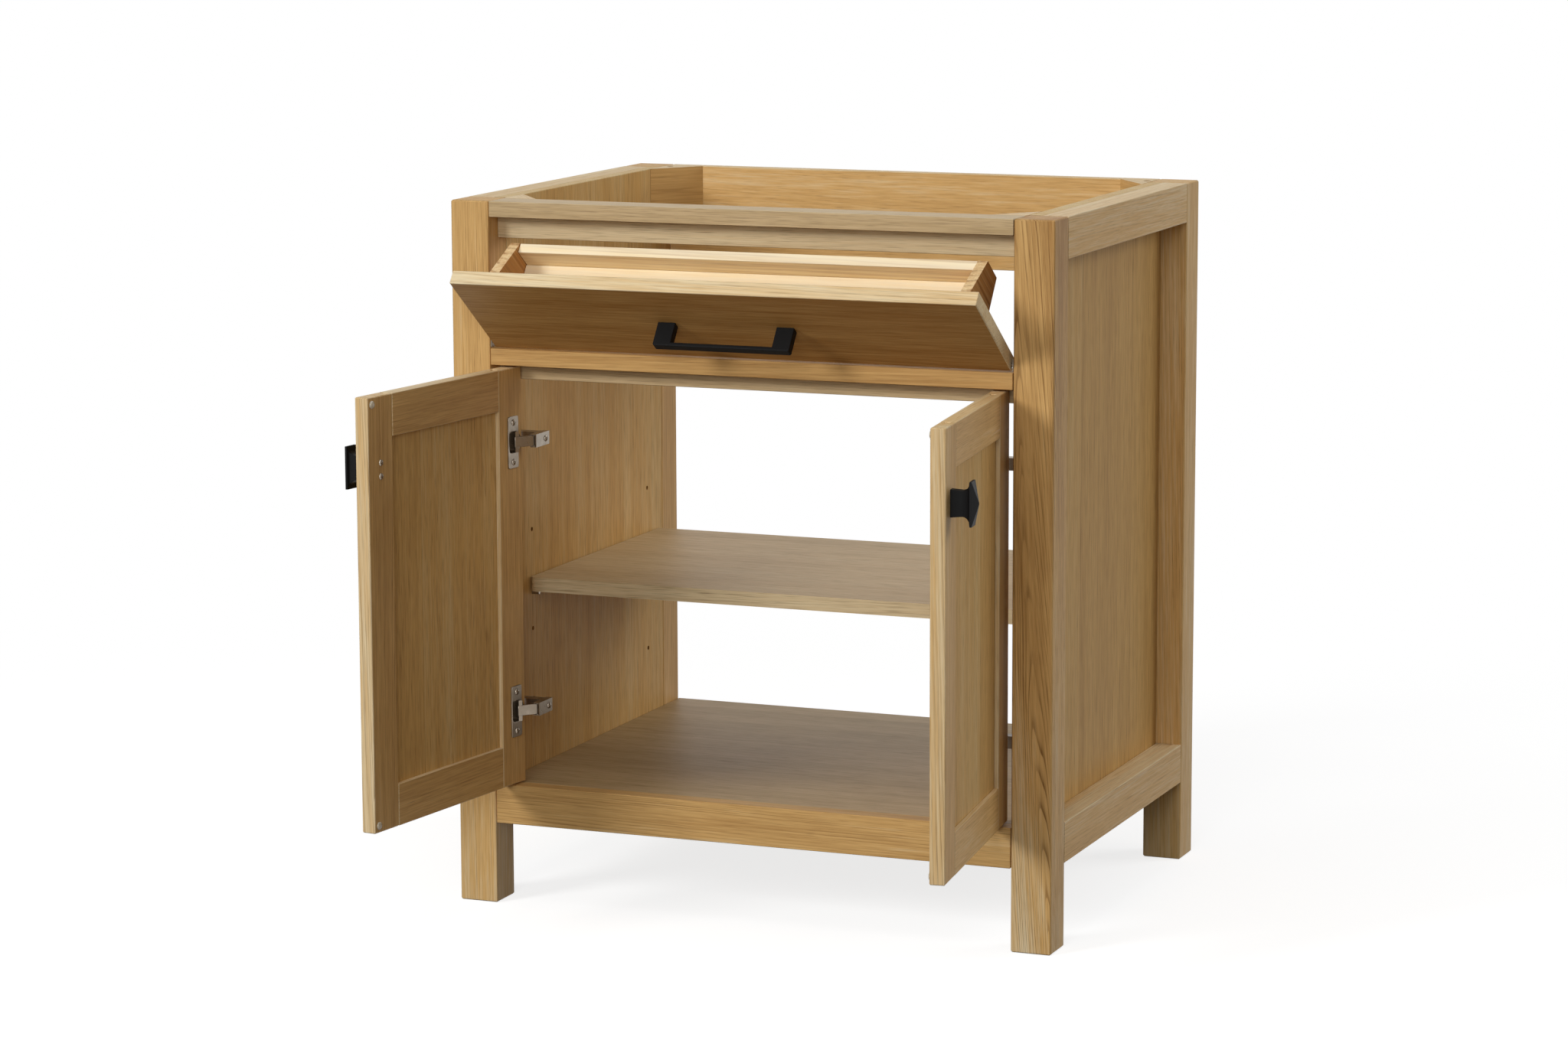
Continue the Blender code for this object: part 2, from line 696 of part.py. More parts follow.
def build_tilt_front():
    """Builds the tilt front with its handle, tray and pivots."""
    pivot = make_empty(
        "tilt_axis",
        ROOT,
        (0.0, TILT_PIVOT_BACK, TILT_PIVOT_HEIGHT),
        (TILT_OPEN_ANGLE, 0.0, 0.0),
    )

    def local(x, y, z):
        """Moves a closed place into the pivot's frame."""
        return x, y - TILT_PIVOT_BACK, z - TILT_PIVOT_HEIGHT

    half_width = INNER - TILT_SIDE_GAP
    front = board(
        "tilt_front",
        local(-half_width, 0.0, TILT_BASE),
        local(half_width, TILT_THICKNESS, TILT_TOP),
        pivot,
        OAK,
        FRONT_EDGE,
    )
    for label, side in SIDES:
        bore = rod_cutter(
            f"tilt_bore_{label}",
            TILT_PIN_RADIUS + PIN_CLEARANCE,
            2 * (TILT_PIN_LENGTH + PIN_CLEARANCE),
            (side * half_width, 0.0, 0.0),
            pivot,
            (0.0, math.pi / 2, 0.0),
        )
        cut(front, bore)
        build_tilt_pivot(label, side, half_width)

    tray_front = TILT_THICKNESS + GLUE_GAP
    outer = INNER - TRAY_SIDE_INSET
    inner = outer - TRAY_END_THICKNESS
    back_inner = TRAY_REACH - TRAY_BACK_THICKNESS
    back_top = TRAY_BASE + TRAY_BACK_HEIGHT
    for label, side in SIDES:
        low_x, high_x = across(side, inner, outer)
        shape, middle = box_mesh(
            local(low_x, tray_front, TRAY_BASE), local(high_x, TRAY_REACH, TRAY_FRONT_TOP)
        )
        rise = TRAY_FRONT_TOP - back_top
        run = TRAY_REACH - tray_front
        corner = Vector((0.0, -run / 2, (TRAY_FRONT_TOP - TRAY_BASE) / 2))
        slice_off(shape, corner, Vector((0.0, rise, run)))
        place(f"tray_end_{label}", shape, middle, pivot, PINE)
    board("tray_back", local(-inner + GLUE_GAP, back_inner, TRAY_BASE),
          local(inner - GLUE_GAP, TRAY_REACH, back_top), pivot, PINE, BOARD_EDGE)
    board("tray_bottom", local(-inner + GLUE_GAP, tray_front, TRAY_BASE),
          local(inner - GLUE_GAP, back_inner - GLUE_GAP, TRAY_BASE + TRAY_FLOOR_THICKNESS),
          pivot, PINE, BOARD_EDGE)
    build_handle(local, pivot)


def build_tilt_pivot(label, side, front_end):
    """Builds a plate on the post with the pin that the tilt front turns on."""
    seat = INNER - GLUE_GAP
    low_x, high_x = across(side, seat - TILT_PLATE[0], seat)
    start_y = TILT_PIVOT_BACK - TILT_PLATE[2] / 4
    plate = board(
        f"tilt_pivot_{label}",
        (low_x, start_y, MID_RAIL_TOP + TILT_PLATE[0]),
        (high_x, start_y + TILT_PLATE[1], MID_RAIL_TOP + TILT_PLATE[0] + TILT_PLATE[2]),
        ROOT,
        NICKEL,
        METAL_EDGE,
    )
    inner_end = front_end - TILT_PIN_LENGTH
    outer_end = seat - TILT_PLATE[0] / 2
    pin = rod_cutter(
        f"tilt_pin_{label}",
        TILT_PIN_RADIUS,
        outer_end - inner_end,
        (side * (inner_end + outer_end) / 2, TILT_PIVOT_BACK, TILT_PIVOT_HEIGHT),
        ROOT,
        (0.0, math.pi / 2, 0.0),
    )
    join(plate, pin)


def build_handle(local, pivot):
    """Builds the bridge handle from its flat outline."""
    half = HANDLE_LENGTH / 2
    inner = half - HANDLE_FOOT
    seat = -GLUE_GAP
    outline = (
        (-half, seat),
        (-half, -HANDLE_REACH + HANDLE_CHAMFER),
        (-half + HANDLE_CHAMFER, -HANDLE_REACH),
        (half - HANDLE_CHAMFER, -HANDLE_REACH),
        (half, -HANDLE_REACH + HANDLE_CHAMFER),
        (half, seat),
        (inner, seat),
        (inner, -HANDLE_REACH + HANDLE_BAR),
        (-inner, -HANDLE_REACH + HANDLE_BAR),
        (-inner, seat),
    )
    curve = bpy.data.curves.new("tilt_handle", "CURVE")
    curve.dimensions = "2D"
    curve.fill_mode = "BOTH"
    curve.extrude = HANDLE_HEIGHT / 2
    line = curve.splines.new("POLY")
    line.points.add(len(outline) - 1)
    for point, (x, y) in zip(line.points, outline):
        point.co = (x, y, 0.0, 1.0)
    line.use_cyclic_u = True
    handle = bpy.data.objects.new("tilt_handle", curve)
    PARTS.objects.link(handle)
    handle.parent = pivot
    handle.location = local(0.0, 0.0, (TILT_BASE + TILT_TOP) / 2)
    curve.materials.append(BLACK)


build_posts()
build_front_rails()
build_sides()
build_back_and_floor()
build_braces()
build_shelf()
for door_label, door_side in SIDES:
    build_door(door_label, door_side)
build_tilt_front()
bpy.context.view_layer.update()
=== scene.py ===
"""Looks of an open-top oak vanity with framed doors, a tilt-out tray and a loose shelf.

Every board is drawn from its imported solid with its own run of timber, so that the growth rings
go through the board from face to edge. The fittings are nickel plated steel and black coated metal.
Metres, +Z up, the front looks along -Y. The doors and the tilt front stand open.
"""
from __future__ import annotations

import json
import logging
import math
import zlib
from dataclasses import dataclass
from enum import Enum
from typing import Any, Callable, Iterable, Sequence

import bmesh
import bpy
import numpy as np
from mathutils import Matrix, Vector

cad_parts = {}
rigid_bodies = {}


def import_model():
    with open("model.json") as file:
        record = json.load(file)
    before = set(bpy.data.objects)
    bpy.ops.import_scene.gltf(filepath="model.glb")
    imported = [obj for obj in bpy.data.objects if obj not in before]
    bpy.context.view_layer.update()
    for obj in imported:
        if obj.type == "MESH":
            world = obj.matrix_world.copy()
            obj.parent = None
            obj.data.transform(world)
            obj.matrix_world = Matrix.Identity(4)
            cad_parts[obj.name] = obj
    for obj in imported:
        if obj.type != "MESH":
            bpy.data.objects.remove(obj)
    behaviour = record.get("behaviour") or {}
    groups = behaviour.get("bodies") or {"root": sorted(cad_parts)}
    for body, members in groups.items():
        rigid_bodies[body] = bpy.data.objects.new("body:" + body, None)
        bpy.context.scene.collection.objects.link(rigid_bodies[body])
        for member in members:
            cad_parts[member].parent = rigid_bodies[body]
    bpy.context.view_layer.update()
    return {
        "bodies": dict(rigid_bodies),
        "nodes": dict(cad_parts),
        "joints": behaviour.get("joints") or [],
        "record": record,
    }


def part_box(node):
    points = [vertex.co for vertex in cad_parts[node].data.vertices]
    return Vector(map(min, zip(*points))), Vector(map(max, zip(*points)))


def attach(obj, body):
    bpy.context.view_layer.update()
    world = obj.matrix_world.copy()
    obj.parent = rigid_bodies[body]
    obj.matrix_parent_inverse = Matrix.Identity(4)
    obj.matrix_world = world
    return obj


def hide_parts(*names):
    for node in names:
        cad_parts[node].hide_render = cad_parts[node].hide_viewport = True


Pair = tuple[float, float]
Triple = tuple[float, float, float]
Tree, Node, Socket = bpy.types.NodeTree, bpy.types.Node, bpy.types.NodeSocket
Mesh, Material, Shape = bpy.types.Mesh, bpy.types.Material, bmesh.types.BMesh

LOG = logging.getLogger("vanity")
MM = 0.001
MATH = "ShaderNodeMath"
MIX = "ShaderNodeMix"
NOISE = "ShaderNodeTexNoise"
MAP_RANGE = "ShaderNodeMapRange"

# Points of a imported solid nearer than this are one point, and faces that turn less are one face
WELD = 0.002 * MM
FLAT_DEG = 0.4
# Edges sharper than this stay sharp on boards, on fittings, on the cups, on the knobs and on the bumpers
BOARD_SHARP_DEG = 50.0
STEEL_SHARP_DEG = 40.0
CUP_SHARP_DEG = 42.0
KNOB_SHARP_DEG = 24.0
BUMPER_SHARP_DEG = 60.0
# How much a wide face outweighs a narrow one in the shading of the edge between them
WIDE_FACE_WEIGHT = 90

# How much a rail stops short of the post it joins, and how far from its end its points move with it
JOINT = 0.35 * MM
END_ZONE = 3.0 * MM
# A facet that looks this squarely along the way of the main face takes the main face's colour
SQUARE_ON = 0.8
# Walls of drilled holes are known by facets narrower than this, and get this depth of colour as painted
# shade in the holes
HOLE_FACET = 3.0 * MM
HOLE_SHADE_TONE = 1.3
# Where along the log a board begins, and how far off its heart lies: the least, and the play
LOG_START = (1.0, 9.0)
HEART_SWAY = (0.7, 0.6)

# How far slow clouds change the depth of colour in a calm board, and more in a lively one
CALM_CLOUDS, LIVELY_CLOUDS = 0.42, 0.5
FIBRE_SWING = 0.64
# Where the middle colour lies between the palest and the deepest
PALE_STOP = 0.4
# Strength of the rings in a board without figure
CALM_RINGS = 0.28
# How far the rings wander in a calm board, and more in a lively one
CALM_WANDER, LIVELY_WANDER = 5 * MM, 15 * MM
# Changes of the years' width to a metre of the log, and how uneven they are in rings
YEAR_CHANGES, YEAR_SPREAD = 110.0, 2.6
# Darkness through one year: a sharp start that fades out
YEAR_CURVE = ((0.0, 0.55), (0.08, 1.0), (0.24, 0.60), (0.50, 0.14), (0.92, 0.03), (1.0, 0.5))
# How dark the gaps of a broken ring stay in a calm board, and more in a lively one
CALM_GAPS, LIVELY_GAPS = 0.20, 0.45
FAINT_PATCH = 0.10
# Parts of a noise, from where it begins to show to where it is whole
GAP_RANGE, PATCH_RANGE, PORE_RANGE = (0.36, 0.60), (0.34, 0.64), (0.50, 0.72)
SPOT_ROUGHNESS = 0.6
# Share of the pores that lie anywhere, and more in the dark start of a ring
LOOSE_PORES, RING_PORES = 0.4, 0.6
PORE_ROUGHNESS = 0.14
# Relief of the grain: its depth, its strength, and the height of a ring to that of a pore
GRAIN_RELIEF, GRAIN_BUMP, RING_HEIGHT = 0.2 * MM, 0.35, 0.4
# Strips of a veneer sheet: how they differ in colour, how dark their joint is, and its width
STRIP_SWING, STRIP_LINE, STRIP_JOINT_MM = 0.16, 0.22, 0.9


class Grain(Enum):
    """The way the fibres run in the closed cabinet, as the number of an axis."""

    ACROSS = 0
    DEEP = 1
    UPRIGHT = 2


class Face(Enum):
    """The way the main face of a board looks in the closed cabinet, as the number of an axis."""

    SIDE = 0
    FRONT = 1
    TOP = 2


class Cut(Enum):
    """How a board was sawn: how far the heart lies across it and below its face, and its slope."""

    FLAT = (0.004, 0.060, 0.035)
    RIFT = (0.110, 0.085, 0.022)
    QUARTER = (0.420, 0.050, 0.010)


class Slot(Enum):
    """The finishes named in the record."""

    OAK = "honey_oak"
    SIDE_OAK = "side_oak"
    PINE = "tray_pine"
    BLACK = "black_metal"
    NICKEL = "nickel_steel"


class Side(Enum):
    """The two sides of the cabinet, with the way outwards along X."""

    LEFT = -1
    RIGHT = 1

    @property
    def label(self) -> str:
        """The side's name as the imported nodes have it."""
        return self.name.lower()


# Depth of colour of each door's frame, panel and edges
DOOR_TONES = {Side.LEFT: (0.50, 0.40, 0.15), Side.RIGHT: (0.46, 0.38, 0.20)}
HINGE_ROWS = ("upper", "lower")


def colour(code: str) -> tuple[float, float, float, float]:
    """Turns an sRGB hex colour into linear light.

    Args:
        code: six hex digits.

    Returns:
        Red, green, blue and full opacity.
    """
    channels = [int(code[i:i + 2], 16) / 255 for i in (0, 2, 4)]
    linear = [c / 12.92 if c <= 0.04045 else ((c + 0.055) / 1.055) ** 2.4 for c in channels]
    return (linear[0], linear[1], linear[2], 1.0)


def wire(tree: Tree, node: Node, inputs: dict[str | int, Any]) -> None:
    """Sets or links the inputs of a node.

    Args:
        tree: the tree that holds the node.
        node: the node.
        inputs: for each input, by name or number, a value, another node's output, or another node,
            which stands for its first output.
    """
    for key, value in inputs.items():
        source = value.outputs[0] if isinstance(value, Node) else value
        if isinstance(source, Socket):
            tree.links.new(source, node.inputs[key])
        else:
            node.inputs[key].default_value = source


def add_node(tree: Tree, kind: str, inputs: dict[str | int, Any] | None = None, **settings: Any) -> Node:
    """Adds a node with its settings, and sets or links its inputs.

    Args:
        tree: the node tree that gets the node.
        kind: the type of the node.
        inputs: what goes into each input, by name or number.
        **settings: properties of the node itself.

    Returns:
        The new node.
    """
    node = tree.nodes.new(kind)
    for name, value in settings.items():
        setattr(node, name, value)
    wire(tree, node, inputs or {})
    return node


def new_material(name: str) -> tuple[Material, Tree, Node]:
    """Makes an empty node material.

    Args:
        name: the material's name.

    Returns:
        The material, its node tree and its Principled shader.
    """
    material = bpy.data.materials.new(name)
    material.use_nodes = True
    return material, material.node_tree, material.node_tree.nodes["Principled BSDF"]


@dataclass(frozen=True)
class Spots:
    """A noise in the wood: how long its spots are along the fibres, how wide, and its finer layers."""

    length_mm: float
    width_mm: float
    detail: float

    def build(self, tree: Tree, place: Socket) -> Socket:
        """Adds the noise.

        Args:
            tree: the material's node tree.
            place: the place in the log.

        Returns:
            The noise, from 0 to 1.
        """
        stretch = (1 / (self.length_mm * MM), 1 / (self.width_mm * MM), 1 / (self.width_mm * MM))
        scaled = add_node(tree, "ShaderNodeVectorMath", {0: place, 1: stretch}, operation="MULTIPLY")
        noise = add_node(tree, NOISE, {"Vector": scaled, "Scale": 1.0, "Detail": self.detail,
                                       "Roughness": SPOT_ROUGHNESS})
        return noise.outputs["Fac"]


# Slow clouds of colour in a board
CLOUDS = Spots(620.0, 30.0, 3.0)
# Bundles of fibres: single fibres are far too fine to show, so bundles are drawn 3 mm wide
FIBRES = Spots(110.0, 3.0, 3.0)
# How the rings wander from true circles, the gaps along a ring, and patches where the rings fade
WANDER = Spots(640.0, 40.0, 2.0)
GAPS = Spots(70.0, 1.6, 2.0)
PATCHES = Spots(300.0, 13.0, 2.0)


@dataclass(frozen=True)
class Timber:
    """A lacquered wood, drawn from rings around a heart line, fibres and long pores.

    The pattern reads three attributes of the board: "grain", a place in the log with X along the
    fibres and the heart line at Y = Z = 0, "tone", how deep the board's colour is, and "figure",
    how lively its rings are.
    """

    name: str
    bare: str
    pale: str
    deep: str
    line: str
    pore: str
    ring_mm: float
    ring_strength: float
    pores: Spots
    pore_strength: float
    roughness: float
    gloss: float
    strip_mm: float = 0.0

    def build(self) -> Material:
        """Builds the material.

        Returns:
            The timber's material.
        """
        material, tree, shader = new_material(self.name)
        place, tone, figure = (
            add_node(tree, "ShaderNodeAttribute", attribute_name=name).outputs[output]
            for name, output in (("grain", "Vector"), ("tone", "Fac"), ("figure", "Fac"))
        )
        ring = self._rings(tree, place, figure)
        pore = self._pores(tree, place, ring)
        ramp = add_node(tree, "ShaderNodeValToRGB", {0: self._depth(tree, place, tone, figure)})
        stops = ramp.color_ramp.elements
        stops[0].color, stops[1].color = colour(self.bare), colour(self.deep)
        stops.new(PALE_STOP).color = colour(self.pale)
        lively = add_node(tree, MATH, {0: figure, 1: CALM_RINGS}, operation="ADD")
        force = add_node(tree, MATH, {0: lively, 1: self.ring_strength}, operation="MULTIPLY")
        ring_share = add_node(tree, MATH, {0: ring, 1: force}, operation="MULTIPLY", use_clamp=True)
        lined = add_node(tree, MIX, {0: ring_share, 6: ramp, 7: colour(self.line)}, data_type="RGBA")
        pore_share = add_node(tree, MATH, {0: pore, 1: self.pore_strength}, operation="MULTIPLY",
                              use_clamp=True)
        pored = add_node(tree, MIX, {0: pore_share, 6: lined.outputs[2], 7: colour(self.pore)},
                         data_type="RGBA")
        rough = add_node(tree, MATH, {0: pore, 1: PORE_ROUGHNESS, 2: self.roughness},
                         operation="MULTIPLY_ADD")
        height = add_node(tree, MATH, {0: ring, 1: RING_HEIGHT, 2: pore}, operation="MULTIPLY_ADD")
        bump = add_node(tree, "ShaderNodeBump",
                        {"Strength": GRAIN_BUMP, "Distance": GRAIN_RELIEF, "Height": height}, invert=True)
        wire(tree, shader, {"Specular IOR Level": self.gloss, "Base Color": pored.outputs[2],
                            "Roughness": rough, "Normal": bump})
        return material

    def _depth(self, tree: Tree, place: Socket, tone: Socket, figure: Socket) -> Socket:
        """Adds the depth of colour: the board's own, changed by slow clouds, fibres and strips.

        Args:
            tree: the material's node tree.
            place: the place in the log.
            tone: how deep the board's colour is.
            figure: how lively the board is.

        Returns:
            The depth of colour, from 0 to 1.
        """
        broad = CLOUDS.build(tree, place)
        fibre = FIBRES.build(tree, place)
        swing = add_node(tree, MATH, {0: figure, 1: LIVELY_CLOUDS, 2: CALM_CLOUDS},
                         operation="MULTIPLY_ADD")
        centred = add_node(tree, MATH, {0: broad, 1: 0.5}, operation="SUBTRACT")
        slow = add_node(tree, MATH, {0: centred, 1: swing, 2: tone}, operation="MULTIPLY_ADD")
        fine = add_node(tree, MATH, {0: fibre, 1: FIBRE_SWING, 2: slow}, operation="MULTIPLY_ADD")
        depth = add_node(tree, MATH, {0: fine, 1: FIBRE_SWING / 2}, operation="SUBTRACT")
        return self._strips(tree, place, depth.outputs[0]) if self.strip_mm else depth.outputs[0]

    def _strips(self, tree: Tree, place: Socket, depth: Socket) -> Socket:
        """Gives each strip of a veneer sheet a depth of colour of its own, and a fine dark joint.

        Args:
            tree: the material's node tree.
            place: the place in the log.
            depth: the depth of colour in the wood.

        Returns:
            The depth of colour with the strips in it.
        """
        parts = add_node(tree, "ShaderNodeSeparateXYZ", {0: place})
        count = add_node(tree, MATH, {0: parts.outputs[1], 1: 1 / (self.strip_mm * MM)},
                         operation="MULTIPLY")
        whole = add_node(tree, MATH, {0: count}, operation="FLOOR")
        chance = add_node(tree, "ShaderNodeTexWhiteNoise", {"W": whole}, noise_dimensions="1D")
        step = add_node(tree, MATH, {0: chance.outputs["Value"], 1: -0.5}, operation="ADD")
        joined = add_node(tree, MATH, {0: step, 1: STRIP_SWING, 2: depth}, operation="MULTIPLY_ADD")
        part = add_node(tree, MATH, {0: count}, operation="FRACT")
        joint = add_node(tree, MATH, {0: part, 1: STRIP_JOINT_MM / self.strip_mm}, operation="LESS_THAN")
        lined = add_node(tree, MATH, {0: joint, 1: STRIP_LINE, 2: joined}, operation="MULTIPLY_ADD")
        return lined.outputs[0]

    def _rings(self, tree: Tree, place: Socket, figure: Socket) -> Socket:
        """Adds the growth rings: a sharp dark start that fades out, with years of uneven width.

        Args:
            tree: the material's node tree.
            place: the place in the log.
            figure: how lively the rings are.

        Returns:
            How dark the ring is, from 0 to 1.
        """
        flat = add_node(tree, "ShaderNodeVectorMath", {0: place, 1: (0.0, 1.0, 1.0)}, operation="MULTIPLY")
        radius = add_node(tree, "ShaderNodeVectorMath", {0: flat}, operation="LENGTH")
        wander = WANDER.build(tree, place)
        reach = add_node(tree, MATH, {0: figure, 1: LIVELY_WANDER, 2: CALM_WANDER},
                         operation="MULTIPLY_ADD")
        bent = add_node(tree, MATH, {0: wander, 1: reach, 2: radius.outputs["Value"]},
                        operation="MULTIPLY_ADD")
        years = add_node(tree, NOISE, {"W": bent, "Scale": YEAR_CHANGES, "Detail": 2.0},
                         noise_dimensions="1D")
        phase = add_node(tree, MATH, {0: bent, 1: 1 / (self.ring_mm * MM)}, operation="MULTIPLY")
        uneven = add_node(tree, MATH, {0: years.outputs["Fac"], 1: YEAR_SPREAD, 2: phase},
                          operation="MULTIPLY_ADD")
        part = add_node(tree, MATH, {0: uneven}, operation="FRACT")
        shape = add_node(tree, "ShaderNodeFloatCurve", {"Value": part})
        curve = shape.mapping.curves[0]
        curve.points[0].location, curve.points[1].location = YEAR_CURVE[0], YEAR_CURVE[-1]
        for spot in YEAR_CURVE[1:-1]:
            curve.points.new(*spot)
        shape.mapping.update()
        gaps = GAPS.build(tree, place)
        least = add_node(tree, MATH, {0: figure, 1: LIVELY_GAPS, 2: CALM_GAPS}, operation="MULTIPLY_ADD")
        broken = add_node(tree, MAP_RANGE, {"Value": gaps, "From Min": GAP_RANGE[0],
                                            "From Max": GAP_RANGE[1], "To Min": least, "To Max": 1.0})
        strong = PATCHES.build(tree, place)
        share = add_node(tree, MAP_RANGE, {"Value": strong, "From Min": PATCH_RANGE[0],
                                           "From Max": PATCH_RANGE[1], "To Min": FAINT_PATCH,
                                           "To Max": 1.0})
        dashed = add_node(tree, MATH, {0: shape, 1: broken}, operation="MULTIPLY")
        faded = add_node(tree, MATH, {0: dashed, 1: share}, operation="MULTIPLY")
        return faded.outputs[0]

    def _pores(self, tree: Tree, place: Socket, ring: Socket) -> Socket:
        """Adds the long pores, which crowd at the dark start of each ring.

        Args:
            tree: the material's node tree.
            place: the place in the log.
            ring: how dark the ring is.

        Returns:
            How much of a pore there is, from 0 to 1.
        """
        spots = self.pores.build(tree, place)
        cutoff = add_node(tree, MAP_RANGE, {"Value": spots, "From Min": PORE_RANGE[0],
                                            "From Max": PORE_RANGE[1]})
        crowd = add_node(tree, MATH, {0: ring, 1: RING_PORES, 2: LOOSE_PORES}, operation="MULTIPLY_ADD")
        pore = add_node(tree, MATH, {0: cutoff, 1: crowd}, operation="MULTIPLY", use_clamp=True)
        return pore.outputs[0]


@dataclass(frozen=True)
class Metal:
    """A plated or coated metal with a fine mottle in its gloss."""

    name: str
    base: str
    dull: str
    metallic: float
    roughness: float
    mottle: float
    grit_mm: float
    gloss: float
    patch_mm: float = 9.0
    relief_mm: float = 0.05
    bump: float = 0.12

    def build(self) -> Material:
        """Builds the material.

        Returns:
            The metal's material.
        """
        material, tree, shader = new_material(self.name)
        place = add_node(tree, "ShaderNodeTexCoord").outputs["Object"]
        patch = add_node(tree, NOISE, {"Vector": place, "Scale": 1 / (self.patch_mm * MM), "Detail": 3.0})
        grit = add_node(tree, NOISE, {"Vector": place, "Scale": 1 / (self.grit_mm * MM), "Detail": 1.0})
        tint = add_node(tree, MIX, {0: patch, 6: colour(self.base), 7: colour(self.dull)},
                        data_type="RGBA")
        rough = add_node(tree, MATH, {0: patch, 1: self.mottle, 2: self.roughness - self.mottle / 2},
                         operation="MULTIPLY_ADD")
        bump = add_node(tree, "ShaderNodeBump",
                        {"Strength": self.bump, "Distance": self.relief_mm * MM, "Height": grit})
        wire(tree, shader, {"Metallic": self.metallic, "Specular IOR Level": self.gloss,
                            "Base Color": tint.outputs[2], "Roughness": rough, "Normal": bump})
        return material


@dataclass(frozen=True)
class ClearPlastic:
    """Clear soft plastic, moulded, slightly hazy."""

    name: str
    tint: str
    haze: str
    haze_mm: float = 3.0
    roughness: float = 0.22
    ior: float = 1.48
    clearness: float = 0.30

    def build(self) -> Material:
        """Builds the material.

        Returns:
            The plastic's material.
        """
        material, tree, shader = new_material(self.name)
        place = add_node(tree, "ShaderNodeTexCoord").outputs["Object"]
        cloud = add_node(tree, NOISE, {"Vector": place, "Scale": 1 / (self.haze_mm * MM), "Detail": 2.0})
        tint = add_node(tree, MIX, {0: cloud, 6: colour(self.tint), 7: colour(self.haze)},
                        data_type="RGBA")
        wire(tree, shader, {"Base Color": tint.outputs[2], "Roughness": self.roughness, "IOR": self.ior,
                            "Transmission Weight": self.clearness})
        return material


# Solid oak under a clear satin lacquer: honey brown, darker lines where each year begins, and
# long pores that catch the eye. Pores are under half a millimetre wide and are drawn coarser to show.
OAK = Timber("lacquered_oak", bare="EBD7AF", pale="D6AC6D", deep="94642A", line="7A5426", pore="6A4620",
             ring_mm=2.2, ring_strength=0.74, pores=Spots(30.0, 1.1, 1.0), pore_strength=0.40,
             roughness=0.50, gloss=0.22)
# Oak veneer on the wide panels: the same wood in calmer, straighter lines, laid up in strips, with
# pores that show as a fine dark fleck.
VENEER = Timber("oak_veneer", bare="E0C792", pale="D2A866", deep="92652C", line="8E6436", pore="6E4A24",
                ring_mm=2.4, ring_strength=0.56, pores=Spots(34.0, 1.0, 1.0), pore_strength=0.80,
                roughness=0.52, gloss=0.15, strip_mm=66.0)
# Oak veneer under a matt sealer on the shelf, the cabinet floor, the front top rail and the stop
# rails: greyer and a little chalky.
SEALED = Timber("sealed_oak_veneer", bare="D2BE97", pale="C4A97E", deep="8C703C", line="86683E",
                pore="6A5230", ring_mm=2.6, ring_strength=0.60, pores=Spots(36.0, 1.1, 1.0),
                pore_strength=0.85, roughness=0.50, gloss=0.40, strip_mm=90.0)
# Pine under a matt lacquer: pale straw with wide orange late wood and no open pores.
PINE = Timber("lacquered_pine", bare="FBECCB", pale="F8E0AF", deep="C68C4A", line="96602C", pore="A06C30",
              ring_mm=9.0, ring_strength=0.90, pores=Spots(120.0, 3.0, 1.0), pore_strength=0.12,
              roughness=0.50, gloss=0.30)
# Nickel plated pressed steel: warm grey, soft highlights from the rolled sheet. Its colour is darkened as
# painted shade, for hinges that stand in shadow between the doors and the cabinet.
NICKEL = Metal("nickel_plated_steel", base="A69B8C", dull="80766A", metallic=1.0, roughness=0.30,
               mottle=0.16, grit_mm=0.8, gloss=0.5)
# Black powder coat on cast metal: near black, satin, with a fine grit.
BLACK = Metal("black_powder_coat", base="0B0B0C", dull="080808", metallic=0.0, roughness=0.52,
              mottle=0.10, grit_mm=0.5, gloss=0.14)
# Clear polyurethane of the door bumpers: nearly colourless, with a warm haze.
BUMPER = ClearPlastic("clear_polyurethane", tint="EADFC8", haze="DACDB4")


def seed_of(name: str, which: int) -> float:
    """Gives a fixed number from 0 to 1 for a name.

    Args:
        name: the name of a piece.
        which: which of its numbers to give.

    Returns:
        The number.
    """
    return (zlib.crc32(f"{name}:{which}".encode()) % 9973) / 9973


def put(name: str, data: bpy.types.ID) -> bpy.types.Object:
    """Puts a new object into the scene.

    Args:
        name: the object's name.
        data: its mesh, lamp or camera.

    Returns:
        The object.
    """
    thing = bpy.data.objects.new(name, data)
    bpy.context.scene.collection.objects.link(thing)
    return thing


def mesh_of(shape: Shape, name: str) -> Mesh:
    """Turns a shape into a mesh.

    Args:
        shape: the shape, which is freed.
        name: the mesh's name.

    Returns:
        The mesh.
    """
    mesh = bpy.data.meshes.new(name)
    shape.to_mesh(mesh)
    shape.free()
    return mesh


def mark(mesh: Mesh, name: str, kind: str, domain: str, values: Sequence[Any] | np.ndarray) -> None:
    """Writes an attribute of a mesh.

    Args:
        mesh: the mesh.
        name: the attribute's name.
        kind: FLOAT or FLOAT_VECTOR.
        domain: POINT or CORNER.
        values: one number, or one row of three, for each point or corner.
    """
    data = mesh.attributes.new(name, kind, domain).data
    data.foreach_set("vector" if kind == "FLOAT_VECTOR" else "value", np.array(values, np.float32).ravel())


